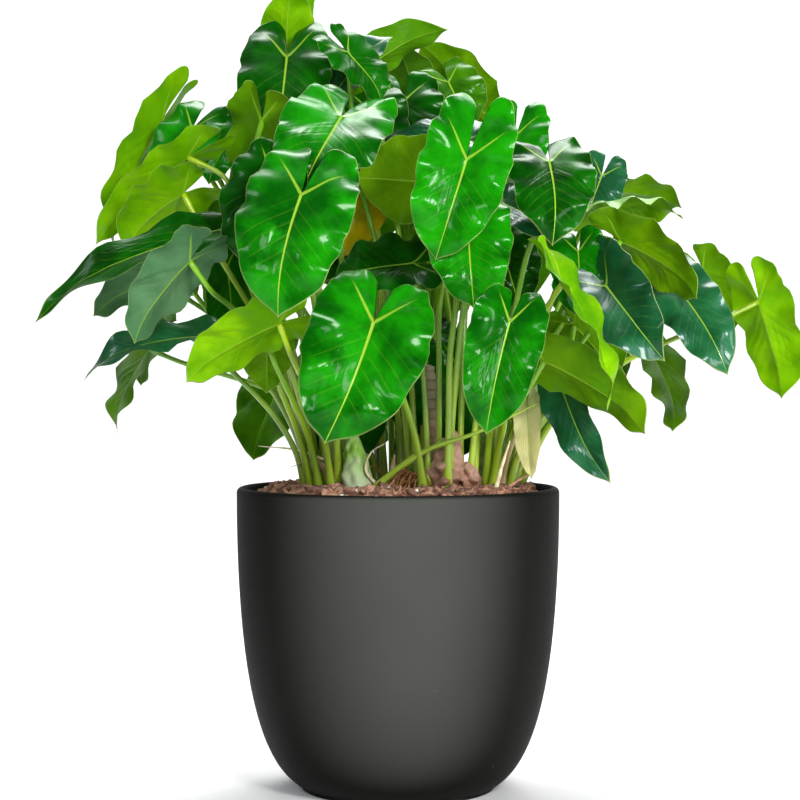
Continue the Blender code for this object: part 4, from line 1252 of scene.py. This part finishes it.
def sweep():
    """A profile that runs level, bends up through a quarter circle and rises, drawn sideways."""
    turn = np.linspace(-math.pi / 2, 0, 24)
    bend = 1.6
    y = np.concatenate(((FRONT,), BACK + bend * np.cos(turn), (BACK + bend,)))
    z = np.concatenate(((0.0,), bend + bend * np.sin(turn), (6.0,)))
    x = np.array((-7.0, 7.0))
    grid = np.stack((np.repeat(x[None], len(y), 0), np.repeat(y[:, None], 2, 1),
                     np.repeat(z[:, None], 2, 1)), -1)
    mesh = bpy.data.meshes.new("sweep")
    mesh.from_pydata(grid.reshape(-1, 3).tolist(), [], grid_faces(len(y), 2).tolist())
    mesh.shade_smooth()
    f = Finish("pale sweep")
    mottle = f.noise(1.5, 2.0)
    f.set("Base Color", f.blend(mottle, (0.86, 0.86, 0.86), (0.88, 0.88, 0.88)))
    f.set("Roughness", 0.9)
    f.set("Specular IOR Level", 0.1)
    mesh.materials.append(f.material)
    floor = bpy.data.objects.new("sweep", mesh)
    bpy.context.scene.collection.objects.link(floor)


sweep()
print("sweep from", FRONT, "to", BACK, "m")

# %% Lights
# name: (place, the point it looks at, width, height, watts, colour)
WARM_WHITE, COOL_WHITE = (1, 1, 1), (0.95, 0.98, 1.0)
LIGHTS = {
    "key": ((0.80, -2.0, 1.15), (0, 0, 0.35), 0.5, 0.5, 41, WARM_WHITE),
    "front": ((-0.2, -2.6, 1.0), (0, 0, 0.30), 0.7, 0.7, 18, COOL_WHITE),
    "right": ((1.65, -1.60, 0.45), (0, 0, 0.30), 0.3, 1.4, 22, WARM_WHITE),
    "left": ((-1.6, -0.6, 1.5), (0, 0, 0.45), 0.5, 0.5, 8, (0.90, 0.96, 1.0)),
    "top": ((0.1, 1.0, 2.1), (0, 0, 0.45), 0.9, 0.9, 20, WARM_WHITE),
    "back": ((0.6, 1.6, 1.6), (0, 0, 0.40), 1.0, 1.0, 12, WARM_WHITE),
    "sweep_wash": ((0.0, 1.6, 3.4), (0, 3.4, 0.6), 2.5, 2.5, 135, WARM_WHITE),
}
for name, (place, aim, width, height, watts, colour) in LIGHTS.items():
    light = bpy.data.lights.new(name, "AREA")
    light.shape, light.size, light.size_y = "RECTANGLE", width, height
    light.energy, light.color = watts, colour
    lamp = bpy.data.objects.new(name, light)
    lamp.location = place
    x, y, z = np.array(aim) - np.array(place)
    lamp.rotation_euler = (math.atan2(math.hypot(x, y), -z), 0, math.atan2(y, x) - math.pi / 2)
    bpy.context.scene.collection.objects.link(lamp)

world = bpy.data.worlds.new("studio")
bpy.context.scene.world = world
world.use_nodes = True
backdrop = world.node_tree.nodes["Background"].inputs
backdrop["Color"].default_value = (0.95, 0.97, 1.0, 1)
backdrop["Strength"].default_value = 0.10
bpy.context.scene.view_settings.view_transform = "Standard"
print(len(LIGHTS), "lights")

# %% Camera
DISTANCE, EYE_HEIGHT, LOOK_DOWN = 1.95, 1.43 * POT_HEIGHT, 1.1
camera_data = bpy.data.cameras.new("camera")
camera_data.lens, camera_data.sensor_width, camera_data.shift_x = 101, 36, 0.0025
camera = bpy.data.objects.new("camera", camera_data)
camera.location = (0, -DISTANCE, EYE_HEIGHT)
camera.rotation_euler = (math.radians(90 - LOOK_DOWN), 0, 0)
bpy.context.scene.collection.objects.link(camera)
bpy.context.scene.camera = camera
print("camera", DISTANCE, "m away,", round(EYE_HEIGHT, 3), "m up")
